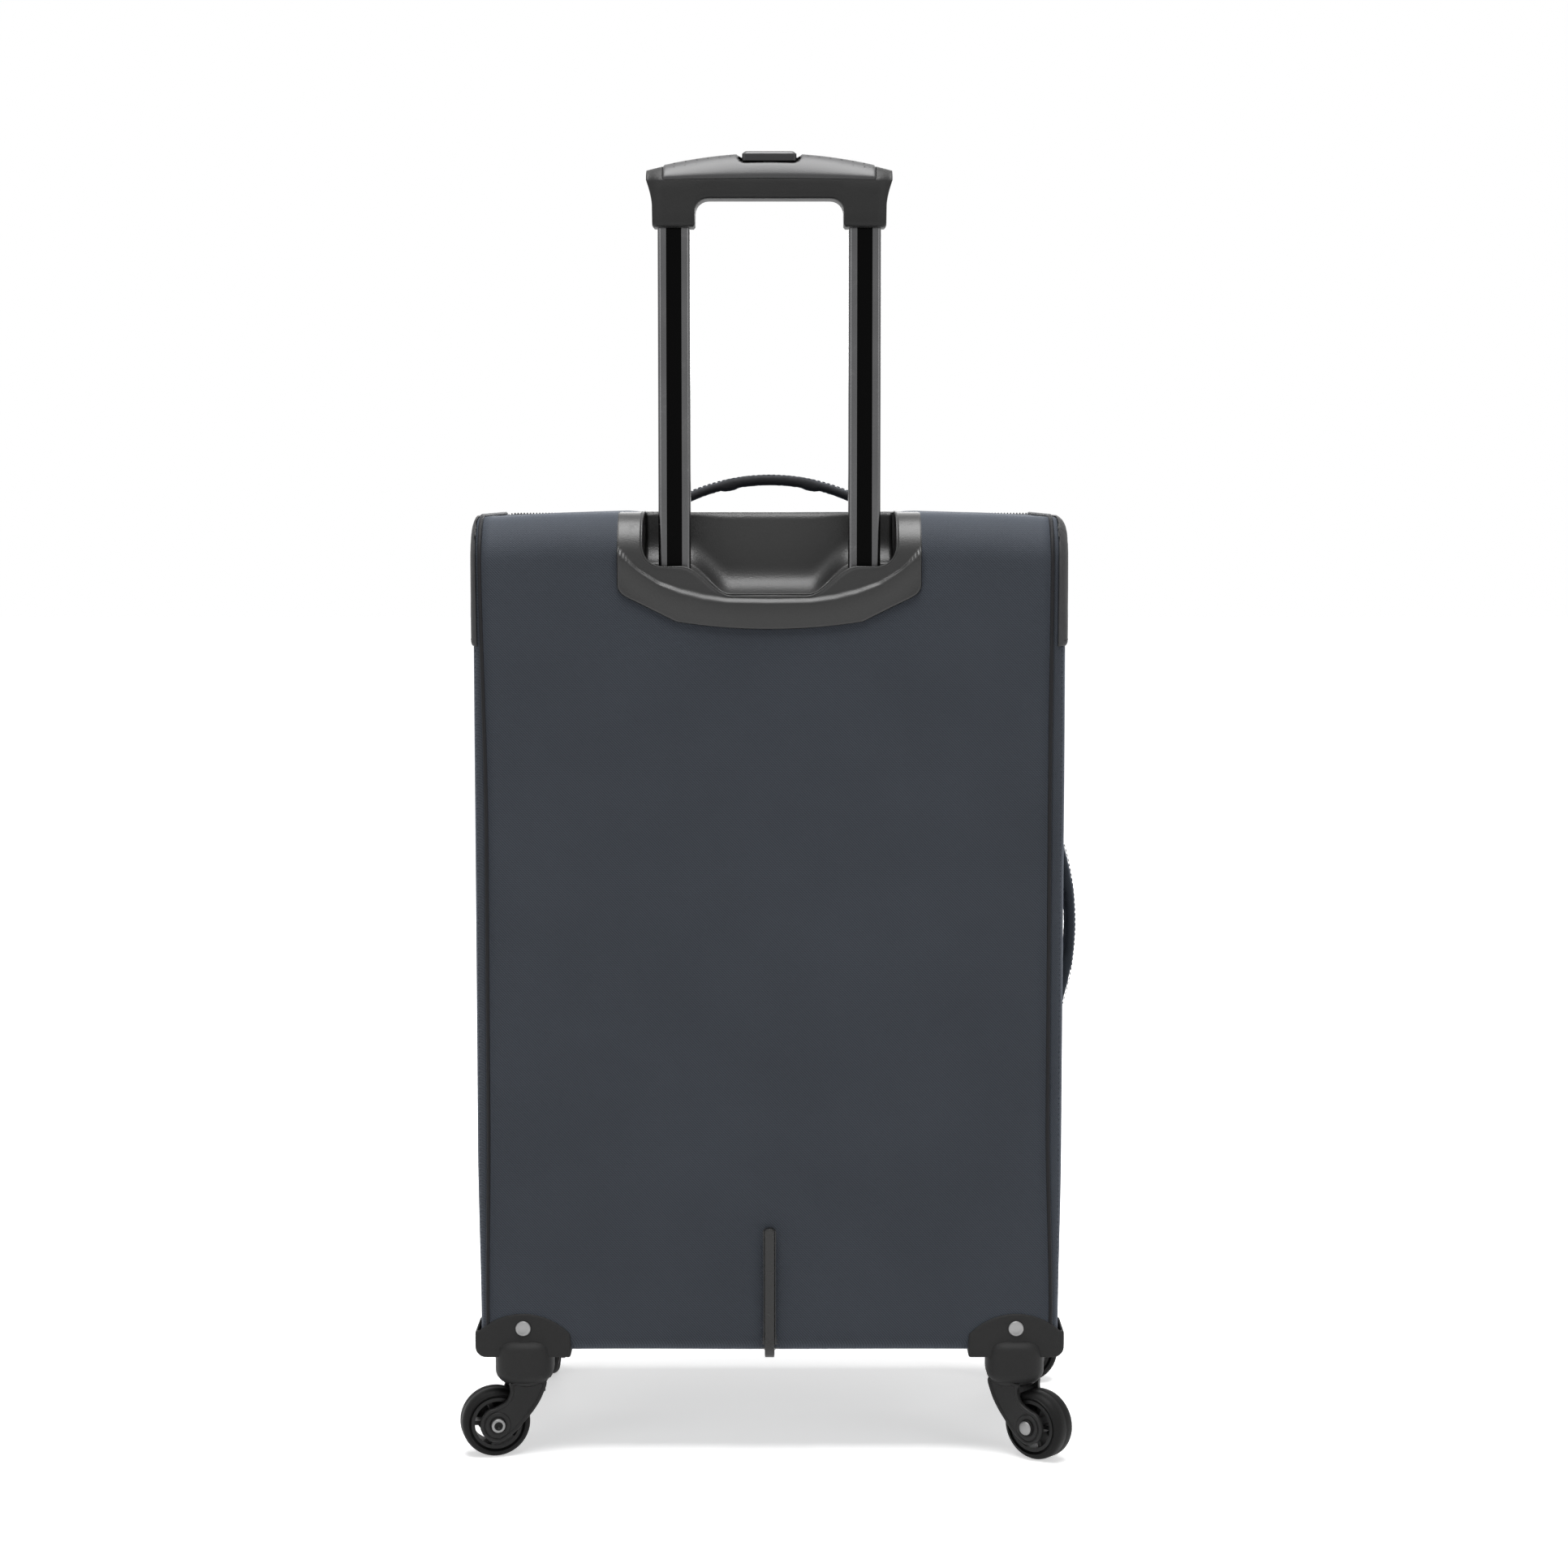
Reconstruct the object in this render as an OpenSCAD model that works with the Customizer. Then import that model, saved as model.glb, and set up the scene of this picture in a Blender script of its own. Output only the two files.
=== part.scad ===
// Softside upright suitcase on four swivel casters, with a two-stage trolley handle.
// +X is the side with the side carry handle, -Y is the back where the trolley handle is,
// +Y is the front with the lid and the pockets, and the floor is at z = 0.

/* [Case] */
// Width of the case across its side panels
case_w = 405; // [340:1:490]
// Height of the case from its underside to its top
case_h = 578; // [480:1:700]
// Depth of the main body from the back panel to the main zip
body_d = 222; // [185:1:270]
// Height of the underside above the floor
case_lift = 76; // [74:1:90]
// Radius where the back turns over into the top
top_edge_r = 30; // [16:1:40]
// Radius where the back and the front sill turn under the case
base_edge_r = 12; // [8:1:16]
// Radius of the case's corners, seen from the back
corner_r = 12; // [8:1:20]
// Distance of each back seam from the outside of its side panel
seam_inset = 7.5; // [6:0.5:12]
// Height of the front sill under the lid
sill_h = 32; // [29:1:45]

/* [Walls] */
// Thickness of the fabric and its foam backing
skin_t = 1.2; // [0.8:0.1:2]
// Thickness of the twin-wall boards behind the fabric
board_t = 3; // [2:0.5:4]
// Thickness of the padded lining over the trolley tubes
lining_t = 1.5; // [1:0.1:3]
// Diameter of the piping cord in the seams
piping_d = 3; // [2:0.5:4]
// Thickness of the base tray
tray_t = 2; // [1.5:0.1:3]
// Height of the base tray's rim
tray_h = 26; // [15:1:40]

/* [Trolley handle] */
// Distance between the centres of the two poles
pole_pitch = 130; // [110:1:140]
// Width of the upper tubes
tube_w = 22; // [18:0.5:24]
// Depth of the upper tubes
tube_d = 13; // [10:0.5:16]
// Wall of every trolley tube
tube_wall = 1.2; // [1:0.1:1.6]
// Width of the groove down the middle of an upper tube
groove_w = 10.3; // [6:0.1:12]
// Depth of that groove
groove_deep = 1.3; // [0.8:0.1:1.8]
// Distance of the poles behind the back panel's face
pole_inset = 22; // [20:0.5:26]
// How far the upper stage is drawn out
upper_travel = 246; // [150:1:260]
// How far the lower stage can be drawn out
lower_travel = 170; // [100:1:200]
// Width of the hand grip across its ends
grip_w = 167; // [150:1:170]
// Depth of the hand grip from front to back
grip_d = 30; // [24:1:32]
// Height of the hand grip from the feet of its legs to the middle of its top
grip_h = 50.8; // [46:0.1:56]
// Height of the grip's bar at its middle
bar_h = 31.8; // [26:0.1:36]
// Width of each leg of the grip
leg_w = 29; // [27:0.5:32]
// Travel of the release button
button_travel = 4; // [2:0.5:4]

/* [Trolley cup] */
// Width of the cup's surround
cup_w = 207; // [200:1:240]
// Inside width of the cup
recess_w = 174; // [172:1:190]
// Depth of the cup from the back panel's face to its far wall
recess_d = 52; // [44:1:60]
// Depth of the cup's floor under the top of the case
recess_h = 54; // [53:1:70]
// Thickness of the cup's wall
cup_t = 2.5; // [2:0.1:4]

/* [Casters] */
// Diameter of the wheels
wheel_d = 48; // [40:1:50]
// Width of the wheels
wheel_w = 20; // [16:1:24]
// Distance from the swivel's axis back to the wheel's axle
wheel_trail = 21.5; // [18:0.5:24]
// Distance of each swivel in from the outside of the case
swivel_in = 31.5; // [29:0.5:60]
// Distance of each swivel from the nearest face of the main body
swivel_inset = 16; // [14:1:22]
// Diameter of the cup over each swivel
swivel_d = 38.4; // [34:0.2:44]
// Directions in which the four wheels trail: near left, near right, far left, far right
trail_angles = [193, 320, 90, 0];

/* [Carry handles] */
// Length of the top carry handle between its anchors
top_handle_l = 160; // [120:1:200]
// Rise of the top handle's middle above the case
top_handle_rise = 25; // [20:1:40]
// Length of the side carry handle between its anchors
side_handle_l = 141; // [120:1:200]
// Rise of the side handle's middle off the case
side_handle_rise = 13; // [12:1:30]
// Height of the side handle's middle above the underside
side_handle_z = 286; // [200:1:320]
// Thickness of the carry handles
handle_t = 8; // [6:0.5:10]
// Width of the carry handles
handle_w = 24; // [18:1:32]

/* [Lid] */
// Width of each half of the zip tape
tape_w = 5.85; // [5:0.05:8]
// Thickness of the lid panel
lid_t = 7; // [5:0.5:10]
// Thickness of the lower pocket when it is empty
lower_pocket_t = 11; // [8:1:20]
// Thickness of the upper pocket when it is empty
upper_pocket_t = 9; // [6:1:16]
// Distance of both pockets in from each side of the case
pocket_in = 29.5; // [28:0.5:70]

/* [Hidden] */
$fn = 48;

seat_gap = 0.1;        // between a curved face and what lies against it
soft_gap = 0.3;        // between bodies, and between soft solids
slide_gap = 0.4;       // between the trolley tubes, on each side
run_gap = 0.05;        // between a pin and the bore it turns in
past = 1;              // how far a cut runs past the face it opens

// The row's origin lies under the middle of the whole footprint, so the back panel's face
// stands at back_y.
near_reach = -(wheel_trail + wheel_d / 2) * sin(trail_angles[1]) + wheel_w / 4 - swivel_inset;
zip_y = body_d + tape_w + soft_gap / 2;
lid_y = zip_y + soft_gap / 2 + tape_w;
front_y = lid_y + lid_t + lower_pocket_t;
slider_stand = 7;
back_y = -(front_y + slider_stand - near_reach) / 2;

half_w = case_w / 2;
seam_x = half_w - seam_inset;
piping_r = piping_d / 2;
wall_t = skin_t + board_t;

pole_x = pole_pitch / 2;
mid_w = tube_w + 2 * (slide_gap + tube_wall);
mid_d = tube_d + 2 * (slide_gap + tube_wall);
out_w = mid_w + 2 * (slide_gap + tube_wall);
out_d = mid_d + 2 * (slide_gap + tube_wall);

recess_z = case_h - recess_h;
ledge_z = recess_z + 20;
cup_proud = 2.5;

collar_t = 2.5;
grip_z = recess_z + soft_gap + collar_t + 0.7 + upper_travel;
grip_top = grip_z + grip_h;
bar_z = grip_top - bar_h;
pad_z = bar_z + 12;
tube_top = grip_z + 10;
foot_z = wall_t + 2.3;
shoe_h = 5;
tube_low = foot_z + shoe_h + 10 + upper_travel;
chamber_z = bar_z + 2;
yoke_t = 4;
yoke_z = chamber_z + 2 + button_travel;
rod_r = 1.5;
well_z = grip_top - 12;
button_z = grip_top - 4.7;
button_w = 37;
button_d = 13;
well_w = 43;
well_d = 18;

swivel_x = half_w - swivel_in;
axle_z = wheel_d / 2;
fork_low = wheel_d + 2;
cup_low = fork_low + 4;
fork_top = cup_low - soft_gap;
kingpin_r = 4;
axle_r = 3;
hub_r = 18;
arm_in = wheel_w / 2 + 0.6;
arm_t = 3.6;

bracket_low = 4.2;
bracket_x = swivel_x - 33;
bracket_out = half_w + 2;
bracket_top = 26.8;
bracket_shoulder = 12;
flange_t = 2.5;
rivet_z = 16.5;

lining_y = pole_inset + out_d / 2 + 3;
anchor_t = 2.7;
strap_z = [case_h - 408, case_h - 228];
pocket_w = case_w - 2 * pocket_in;
pocket_slider_x = pocket_w / 2 - 53;
main_slider_z = 90;
slider_len = 11;
slider_wide = 8;
pin_stand = 5.1;
pocket_split = case_h - 218;
lower_pocket_z = [56, pocket_split - 12];
upper_pocket_z = [pocket_split + 12, case_h - 30];

NEAR_FAR = [["near_left", -1, 0], ["near_right", 1, 0], ["far_left", -1, 1], ["far_right", 1, 1]];

// ---- shared shapes ----

// Puts children that are drawn from the case's own back bottom edge into the row's frame.
module in_case() translate([0, back_y, case_lift]) children();

// Draws a (y, z) outline from x0 to x1.
module along_x(x0, x1) translate([x0, 0, 0]) rotate([90, 0, 90]) linear_extrude(x1 - x0) children();

// Draws an (x, z) outline from y0 to y1.
module along_y(y0, y1) translate([0, y1, 0]) rotate([90, 0, 0]) linear_extrude(y1 - y0) children();

// The sliver that a rounded corner takes off a square one; (dx, dy) points to the corner.
module corner_sliver(x, y, dx, dy, r) {
    if (r > 0.05) difference() {
        translate([x - (dx > 0 ? r : past), y - (dy > 0 ? r : past)]) square(r + past);
        translate([x - dx * r, y - dy * r]) circle(r);
    }
}

// A rectangle with its own radius at each corner: low left, low right, high right, high left.
module plate(x0, y0, x1, y1, r) {
    difference() {
        translate([x0, y0]) square([x1 - x0, y1 - y0]);
        corner_sliver(x0, y0, -1, -1, r[0]);
        corner_sliver(x1, y0, 1, -1, r[1]);
        corner_sliver(x1, y1, 1, 1, r[2]);
        corner_sliver(x0, y1, -1, 1, r[3]);
    }
}

module even_plate(w, d, r) plate(-w / 2, -d / 2, w / 2, d / 2, [r, r, r, r]);

// The main body seen from the side, drawn in by an inset.
module side_view(inset) {
    base_r = base_edge_r - inset;
    plate(inset, inset, body_d - inset, case_h - inset, [base_r, base_r, 0, top_edge_r - inset]);
}

// The wall between two insets, open at the front above the sill.
module wall_view(from, to) {
    difference() {
        side_view(from);
        side_view(to);
        translate([body_d / 2, sill_h]) square([body_d, case_h - sill_h - to]);
    }
}

// The case seen from the back, drawn in by an inset.
module rear_view(inset) {
    r = corner_r - inset;
    plate(-half_w + inset, inset, half_w - inset, case_h - inset, [r, r, r, r]);
}

// The lid's outline, drawn in by an inset.
module lid_view(inset) {
    r = corner_r - inset;
    low = sill_h + soft_gap + inset;
    plate(-half_w + inset, low, half_w - inset, case_h - inset, [r, r, r, r]);
}

// The whole main body as one block, grown by an amount.
module case_block(grow) {
    intersection() {
        along_x(-half_w - grow, half_w + grow) side_view(-grow);
        along_y(-grow, body_d + grow) rear_view(-grow);
    }
}

// The space that the trolley cup takes out of the walls.
module cup_space(gap) {
    x = recess_w / 2 + cup_t + gap;
    low = recess_z - cup_t - gap;
    translate([-x, -10, low]) cube([2 * x, 10 + recess_d + cup_t + gap, case_h]);
}

module both_poles() {
    for (x = [-pole_x, pole_x]) translate([x, pole_inset, 0]) children();
}

// ---- the case ----

module fabric_wrap() color([0.20, 0.23, 0.27]) in_case() {
    half = seam_x - piping_r;
    difference() {
        intersection() {
            along_x(-half, half) wall_view(0, skin_t);
            along_y(-past, body_d + past) rear_view(0);
        }
        cup_space(seat_gap);
    }
}

// A side panel: the fabric face with the rim that turns in to the seam.
module side_skin() {
    intersection() {
        difference() {
            along_x(seam_x + piping_r, half_w) side_view(0);
            along_x(seam_x, half_w - skin_t) side_view(skin_t);
            along_x(seam_x, half_w - skin_t)
                translate([body_d / 2, sill_h]) square([body_d, case_h - sill_h - skin_t]);
        }
        along_y(-past, body_d + past) rear_view(0);
    }
}
module side_skin_left() color([0.22, 0.25, 0.29]) in_case() mirror([1, 0, 0]) side_skin();
module side_skin_right() color([0.22, 0.25, 0.29]) in_case() side_skin();

module back_board() color([0.75, 0.75, 0.72]) in_case() {
    half = seam_x - piping_r - 0.5;
    difference() {
        along_x(-half, half) intersection() {
            wall_view(skin_t + seat_gap, wall_t);
            translate([0, base_edge_r]) square([top_edge_r, case_h]);
        }
        cup_space(seat_gap);
    }
}

module top_board() color([0.75, 0.75, 0.72]) in_case() {
    half = seam_x - piping_r - 0.5;
    difference() {
        translate([-half, top_edge_r + seat_gap, case_h - wall_t])
            cube([2 * half, body_d - top_edge_r - 4, board_t - seat_gap]);
        cup_space(seat_gap);
    }
}

module side_boards() color([0.75, 0.75, 0.72]) in_case() {
    for (side = [0, 1]) mirror([side, 0, 0])
        along_x(half_w - wall_t, half_w - skin_t - seat_gap)
            plate(skin_t + 1, base_edge_r, body_d - 4, case_h - corner_r,
                  [0, 0, 0, top_edge_r - corner_r]);
}

module base_tray() color([0.12, 0.12, 0.13]) in_case() {
    half = half_w - wall_t - soft_gap;
    low = skin_t + seat_gap;
    back = wall_t + seat_gap;
    front = body_d - wall_t;
    floor_r = base_edge_r - 4;
    difference() {
        intersection() {
            translate([-half, back, low]) cube([2 * half, front - back, tray_h]);
            along_x(-half - past, half + past) side_view(low);
            along_y(0, body_d) rear_view(low);
        }
        along_x(-half + tray_t, half - tray_t)
            plate(back + tray_t, low + tray_t, front - tray_t, 2 * tray_h,
                  [floor_r, floor_r, 0, 0]);
    }
}

// The padded lining that covers the trolley tubes and the back of the cup.
module lining() color([0.55, 0.55, 0.58]) in_case() {
    half = half_w - wall_t - tray_t - 1;
    low = skin_t + tray_t + 0.5;
    step_y = recess_d + cup_t + 1;
    step_z = recess_z - cup_t - 1 - lining_t;
    along_x(-half, half) union() {
        translate([lining_y, low]) square([lining_t, step_z + lining_t - low]);
        translate([lining_y, step_z]) square([step_y + lining_t - lining_y, lining_t]);
        translate([step_y, step_z]) square([lining_t, case_h - wall_t - 0.5 - step_z]);
    }
}

// The spring-steel hoop that holds the front opening to its shape.
module rim_hoop() color([0.6, 0.6, 0.62]) in_case() {
    along_y(body_d - 3.5, body_d - 1) difference() {
        lid_view(wall_t + 0.5);
        lid_view(wall_t + 3.5);
    }
}

module piping() color([0.03, 0.03, 0.03]) in_case() {
    for (side = [0, 1]) mirror([side, 0, 0])
        intersection() {
            along_x(seam_x - piping_r + 0.05, seam_x + piping_r - 0.05) wall_view(-0.8, skin_t);
            along_y(-past, body_d) rear_view(-past);
        }
}

// Grained trims on the two top corners of each side panel.
module corner_trims() color([0.12, 0.12, 0.13]) in_case() {
    trim_r = 88;
    for (side = [0, 1]) mirror([side, 0, 0])
        for (y = [0, body_d])
            intersection() {
                along_x(half_w, half_w + 1.5) intersection() {
                    side_view(1);
                    translate([y, case_h]) circle(trim_r);
                }
                along_y(0, body_d) rear_view(-1.5);
            }
}

// ---- the trolley cup ----

// The surround seen from the back: straight sides, cut corners and a shallow arc below.
module surround_view() {
    half = cup_w / 2;
    arc_half = 63.5;
    arc_drop = 5;
    arc_r = (arc_half * arc_half + arc_drop * arc_drop) / (2 * arc_drop);
    low = recess_z - 22.4;
    union() {
        polygon([[-half, case_h + 10], [-half, low + 28], [-half + 7, low + 21.5],
                 [-arc_half, low + arc_drop], [arc_half, low + arc_drop],
                 [half - 7, low + 21.5], [half, low + 28], [half, case_h + 10]]);
        intersection() {
            translate([0, low + arc_r]) circle(arc_r, $fn = 200);
            translate([-arc_half, low - past]) square([2 * arc_half, arc_drop + 2 * past]);
        }
    }
}

// The way into the cup seen from the back: full width above the ledges, with a dip between.
module mouth_view() {
    half = recess_w / 2;
    union() {
        plate(-half, ledge_z, half, case_h + 20, [14, 14, 0, 0]);
        polygon([[-56, ledge_z + past], [-56, ledge_z], [-31, recess_z],
                 [31, recess_z], [56, ledge_z], [56, ledge_z + past]]);
    }
}

module trolley_cup() color([0.06, 0.06, 0.06]) in_case() {
    half = recess_w / 2;
    tub_r = 19;
    lip = 4;
    top_flange_y = recess_d + 14;
    difference() {
        union() {
            intersection() {
                along_y(-cup_proud, top_edge_r + 1) surround_view();
                along_x(-cup_w / 2, cup_w / 2) difference() {
                    side_view(-cup_proud);
                    side_view(-seat_gap);
                }
            }
            translate([0, 0, case_h + seat_gap]) linear_extrude(cup_proud - seat_gap)
                plate(-cup_w / 2, top_edge_r, cup_w / 2, top_flange_y, [0, 0, 8, 8]);
            intersection() {
                along_x(-half - cup_t, half + cup_t)
                    plate(-cup_proud, recess_z - cup_t, recess_d + cup_t, case_h + cup_proud,
                          [3, tub_r + cup_t, 0, 0]);
                along_x(-half - past - cup_t, half + past + cup_t) side_view(-cup_proud);
            }
        }
        along_x(-half, half) plate(lip, recess_z, recess_d, case_h + 20, [3, tub_r, 0, 0]);
        along_y(-20, lip + past) mouth_view();
        both_poles() translate([0, 0, recess_z - 10]) linear_extrude(20)
            even_plate(mid_w + 2 * slide_gap, mid_d + 2 * slide_gap, 2);
    }
}

// ---- the trolley tubes ----

module round_tube(w, d, low, high) {
    translate([0, 0, low]) linear_extrude(high - low) difference() {
        even_plate(w, d, 3);
        even_plate(w - 2 * tube_wall, d - 2 * tube_wall, 3 - tube_wall);
    }
}

module outer_tubes() color([0.25, 0.25, 0.26]) in_case()
    both_poles() round_tube(out_w, out_d, foot_z, recess_z - cup_t);

module tube_foot() color([0.10, 0.10, 0.11]) in_case() {
    low = skin_t + seat_gap + tray_t;
    wall = 2.5;
    length = pole_pitch + out_w + 2 * wall;
    difference() {
        along_x(-length / 2, length / 2)
            plate(pole_inset - out_d / 2 - wall, low, pole_inset + out_d / 2 + wall, low + 20,
                  [base_edge_r - 4, 0, 0, 0]);
        both_poles() translate([0, 0, foot_z]) linear_extrude(30)
            even_plate(out_w + 2 * seat_gap, out_d + 2 * seat_gap, 3);
    }
}

module middle_tubes() color([0.22, 0.22, 0.23]) in_case()
    both_poles() round_tube(mid_w, mid_d, foot_z + 4, recess_z + soft_gap);

module middle_collars() color([0.05, 0.05, 0.05]) in_case() {
    low = recess_z + soft_gap;
    both_poles() translate([0, 0, low]) linear_extrude(collar_t) difference() {
        even_plate(out_w + 1, out_d + 1, 3);
        even_plate(tube_w + 2 * slide_gap, tube_d + 2 * slide_gap, 3);
    }
}

// An upper tube: two flat rails either side of a groove, front and back.
module grooved_view() {
    difference() {
        even_plate(tube_w, tube_d, 2.5);
        for (side = [-1, 1])
            translate([0, side * tube_d / 2]) square([groove_w, 2 * groove_deep], center = true);
        difference() {
            even_plate(tube_w - 2 * tube_wall, tube_d - 2 * tube_wall, 1);
            for (side = [-1, 1])
                translate([0, side * tube_d / 2])
                    square([groove_w + 2 * tube_wall, 2 * (groove_deep + tube_wall)],
                           center = true);
        }
    }
}

module inner_tubes() color([0.35, 0.35, 0.36]) in_case()
    both_poles() translate([0, 0, tube_low]) linear_extrude(tube_top - tube_low) grooved_view();

module inner_shoes() color([0.05, 0.05, 0.05]) in_case()
    both_poles() translate([0, 0, tube_low - shoe_h]) {
        linear_extrude(shoe_h) even_plate(tube_w, tube_d, 2.5);
        translate([0, 0, shoe_h]) linear_extrude(12)
            square([groove_w, tube_d - 2 * (groove_deep + tube_wall) - 0.4], center = true);
    }

// ---- the hand grip ----

arch_half = grip_w / 2;
arch_sag = 11;
arch_r = (arch_half * arch_half + arch_sag * arch_sag) / (2 * arch_sag);

// The grip seen from the back: an arched bar that narrows into two legs.
module grip_view() {
    leg_out = pole_x + leg_w / 2;
    leg_in = pole_x - leg_w / 2;
    difference() {
        intersection() {
            polygon([[-leg_out, grip_z], [-leg_out, bar_z - 2], [-arch_half + 1, bar_z + 11],
                     [-arch_half, bar_z + 17], [-arch_half, grip_top + past],
                     [arch_half, grip_top + past], [arch_half, bar_z + 17],
                     [arch_half - 1, bar_z + 11], [leg_out, bar_z - 2], [leg_out, grip_z]]);
            translate([0, grip_top - arch_r]) circle(arch_r, $fn = 180);
        }
        plate(-leg_in, grip_z - past, leg_in, bar_z, [0, 0, 8, 8]);
    }
}

// The grip seen from its end: a broad round top on a narrower foot.
module grip_end_view() {
    top_r = 13;
    plate(pole_inset - grip_d / 2, grip_z, pole_inset + grip_d / 2, grip_top + past / 2,
          [4, 4, top_r, top_r]);
}

module grip_block() {
    intersection() {
        along_y(pole_inset - grip_d, pole_inset + grip_d) grip_view();
        along_x(-arch_half - past, arch_half + past) grip_end_view();
    }
}

// The part of the grip that the soft pad takes up.
module pad_zone() {
    pad_half = arch_half - 11;
    along_x(-pad_half, pad_half) difference() {
        translate([pole_inset - grip_d, pad_z]) square([2 * grip_d, grip_h]);
        plate(pole_inset - grip_d / 2 + 2.5, pad_z - past, pole_inset + grip_d / 2 - 2.5,
              grip_top - arch_sag - 0.5, [0, 0, 10, 10]);
    }
}

module button_well() {
    translate([0, pole_inset, well_z]) linear_extrude(20) even_plate(well_w, well_d, 5);
}

module trolley_grip() color([0.16, 0.16, 0.16]) in_case() {
    difference() {
        grip_block();
        pad_zone();
        button_well();
        // The yoke's chamber, the button's stem and the sockets for the tubes.
        translate([-pole_x - 4, pole_inset - 3, chamber_z])
            cube([pole_pitch + 8, 6, yoke_z + yoke_t + 1 - chamber_z]);
        translate([-6, pole_inset - 3.5, yoke_z]) cube([12, 7, grip_h]);
        both_poles() translate([0, 0, grip_z - past]) linear_extrude(tube_top - grip_z + past)
            even_plate(tube_w + 2 * seat_gap, tube_d + 2 * seat_gap, 2.5);
        both_poles() translate([0, 0, tube_top - past])
            cylinder(r = rod_r + 0.5, h = chamber_z - tube_top + 2 * past);
    }
}

module grip_pad() color([0.30, 0.30, 0.31]) in_case() {
    difference() {
        intersection() {
            grip_block();
            pad_zone();
        }
        button_well();
        // Two rows of small holes on each side of the button.
        for (side = [-1, 1]) for (i = [0:5]) for (row = [-1, 1])
            translate([side * (25.5 + 7.6 * i), pole_inset + row * 7.5, bar_z + 14])
                cylinder(r = 1.1, h = grip_h, $fn = 14);
    }
}

module push_rods() color([0.6, 0.6, 0.62]) in_case() {
    rod_low = tube_low + 20;
    union() {
        translate([-pole_x - 2, pole_inset - 2, yoke_z]) cube([pole_pitch + 4, 4, yoke_t]);
        both_poles() translate([0, 0, rod_low])
            cylinder(r = rod_r, h = yoke_z + yoke_t / 2 - rod_low, $fn = 24);
    }
}

// A small coil spring under the middle of the yoke.
module button_spring() color([0.7, 0.7, 0.7]) in_case() {
    turns = 4;
    steps = 14;
    sides = 6;
    coil_r = 1.9;
    wire_r = 0.35;
    low = chamber_z + wire_r;
    high = yoke_z - wire_r;
    count = turns * steps;
    points = [for (i = [0:count]) for (j = [0:sides - 1])
        let (turn = 360 * i / steps, around = 360 * j / sides, r = coil_r + wire_r * cos(around))
        [r * cos(turn), r * sin(turn), low + (high - low) * i / count + wire_r * sin(around)]];
    walls = [for (i = [0:count - 1]) for (j = [0:sides - 1])
        let (k = (j + 1) % sides)
        [i * sides + j, i * sides + k, (i + 1) * sides + k, (i + 1) * sides + j]];
    start = [[for (j = [sides - 1:-1:0]) j]];
    end = [[for (j = [0:sides - 1]) count * sides + j]];
    translate([0, pole_inset, 0]) polyhedron(points, concat(walls, start, end));
}

module release_button() color([0.08, 0.08, 0.08]) in_case() {
    stem_z = yoke_z + yoke_t + 0.02;
    union() {
        translate([0, pole_inset, button_z]) linear_extrude(grip_top + 0.8 - button_z)
            even_plate(button_w, button_d, 3);
        translate([-4.5, pole_inset - 2.5, stem_z]) cube([9, 5, button_z + past - stem_z]);
    }
}

// ---- handles, skid and inside fittings ----

// A bowed carry handle over a chord along X, standing on z = 0, cut off at its anchors.
module bowed_handle(chord, rise) {
    r = (chord * chord / 4 + rise * rise) / (2 * rise);
    along_y(-handle_w / 2, handle_w / 2) intersection() {
        difference() {
            translate([0, rise - r]) circle(r + handle_t / 2, $fn = 180);
            translate([0, rise - r]) circle(r - handle_t / 2, $fn = 180);
        }
        translate([-chord, anchor_t + soft_gap]) square([2 * chord, rise + handle_t]);
    }
}

// The two anchor plates under the ends of a handle.
module anchor_pair(chord) {
    for (side = [-1, 1]) translate([side * (chord / 2 - 1), 0, seat_gap])
        linear_extrude(anchor_t - seat_gap) even_plate(30, handle_w + 4, 5);
}

module on_top() translate([0, body_d / 2, case_h]) children();
module on_side() translate([half_w, body_d / 2, side_handle_z]) rotate([0, 90, 0]) children();

module top_handle() color([0.09, 0.09, 0.10]) in_case()
    on_top() bowed_handle(top_handle_l, top_handle_rise);
module side_handle() color([0.11, 0.13, 0.16]) in_case()
    on_side() bowed_handle(side_handle_l, side_handle_rise);
module handle_anchors() color([0.05, 0.05, 0.05]) in_case() {
    on_top() anchor_pair(top_handle_l);
    on_side() anchor_pair(side_handle_l);
}

// The moulded runner at the foot of the back panel: a flange with a ridge down its middle.
module skid() color([0.04, 0.04, 0.04]) in_case() {
    length = 87.5;
    under = 46;
    flange_half = 7.8;
    ridge_half = 3.4;
    ridge = 7;
    intersection() {
        union() {
            along_x(-flange_half, flange_half) difference() {
                side_view(-1.2);
                side_view(-seat_gap);
            }
            along_x(-ridge_half, ridge_half) difference() {
                side_view(-ridge);
                side_view(-1);
            }
        }
        union() {
            along_y(-ridge - past, 2) union() {
                translate([-flange_half, -20]) square([2 * flange_half, length + 20 - flange_half]);
                translate([0, length - flange_half]) circle(flange_half);
            }
            translate([-flange_half, -20, -20]) cube([2 * flange_half, under + 20, 22]);
        }
    }
}

module packing_straps() color([0.08, 0.08, 0.09]) in_case() {
    y = lining_y + lining_t + seat_gap;
    half = half_w - wall_t - tray_t - 2;
    for (z = strap_z) for (side = [0, 1]) mirror([side, 0, 0])
        translate([19, y, z]) cube([half - 19, 1.2, 25]);
}

module strap_buckles() color([0.04, 0.04, 0.04]) in_case() {
    y = lining_y + lining_t + seat_gap;
    for (z = strap_z) {
        translate([0.3, y, z - 2]) cube([18.5, 6, 29]);
        translate([-18.8, y, z - 2]) cube([18.5, 6, 29]);
    }
}

// ---- casters ----

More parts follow.
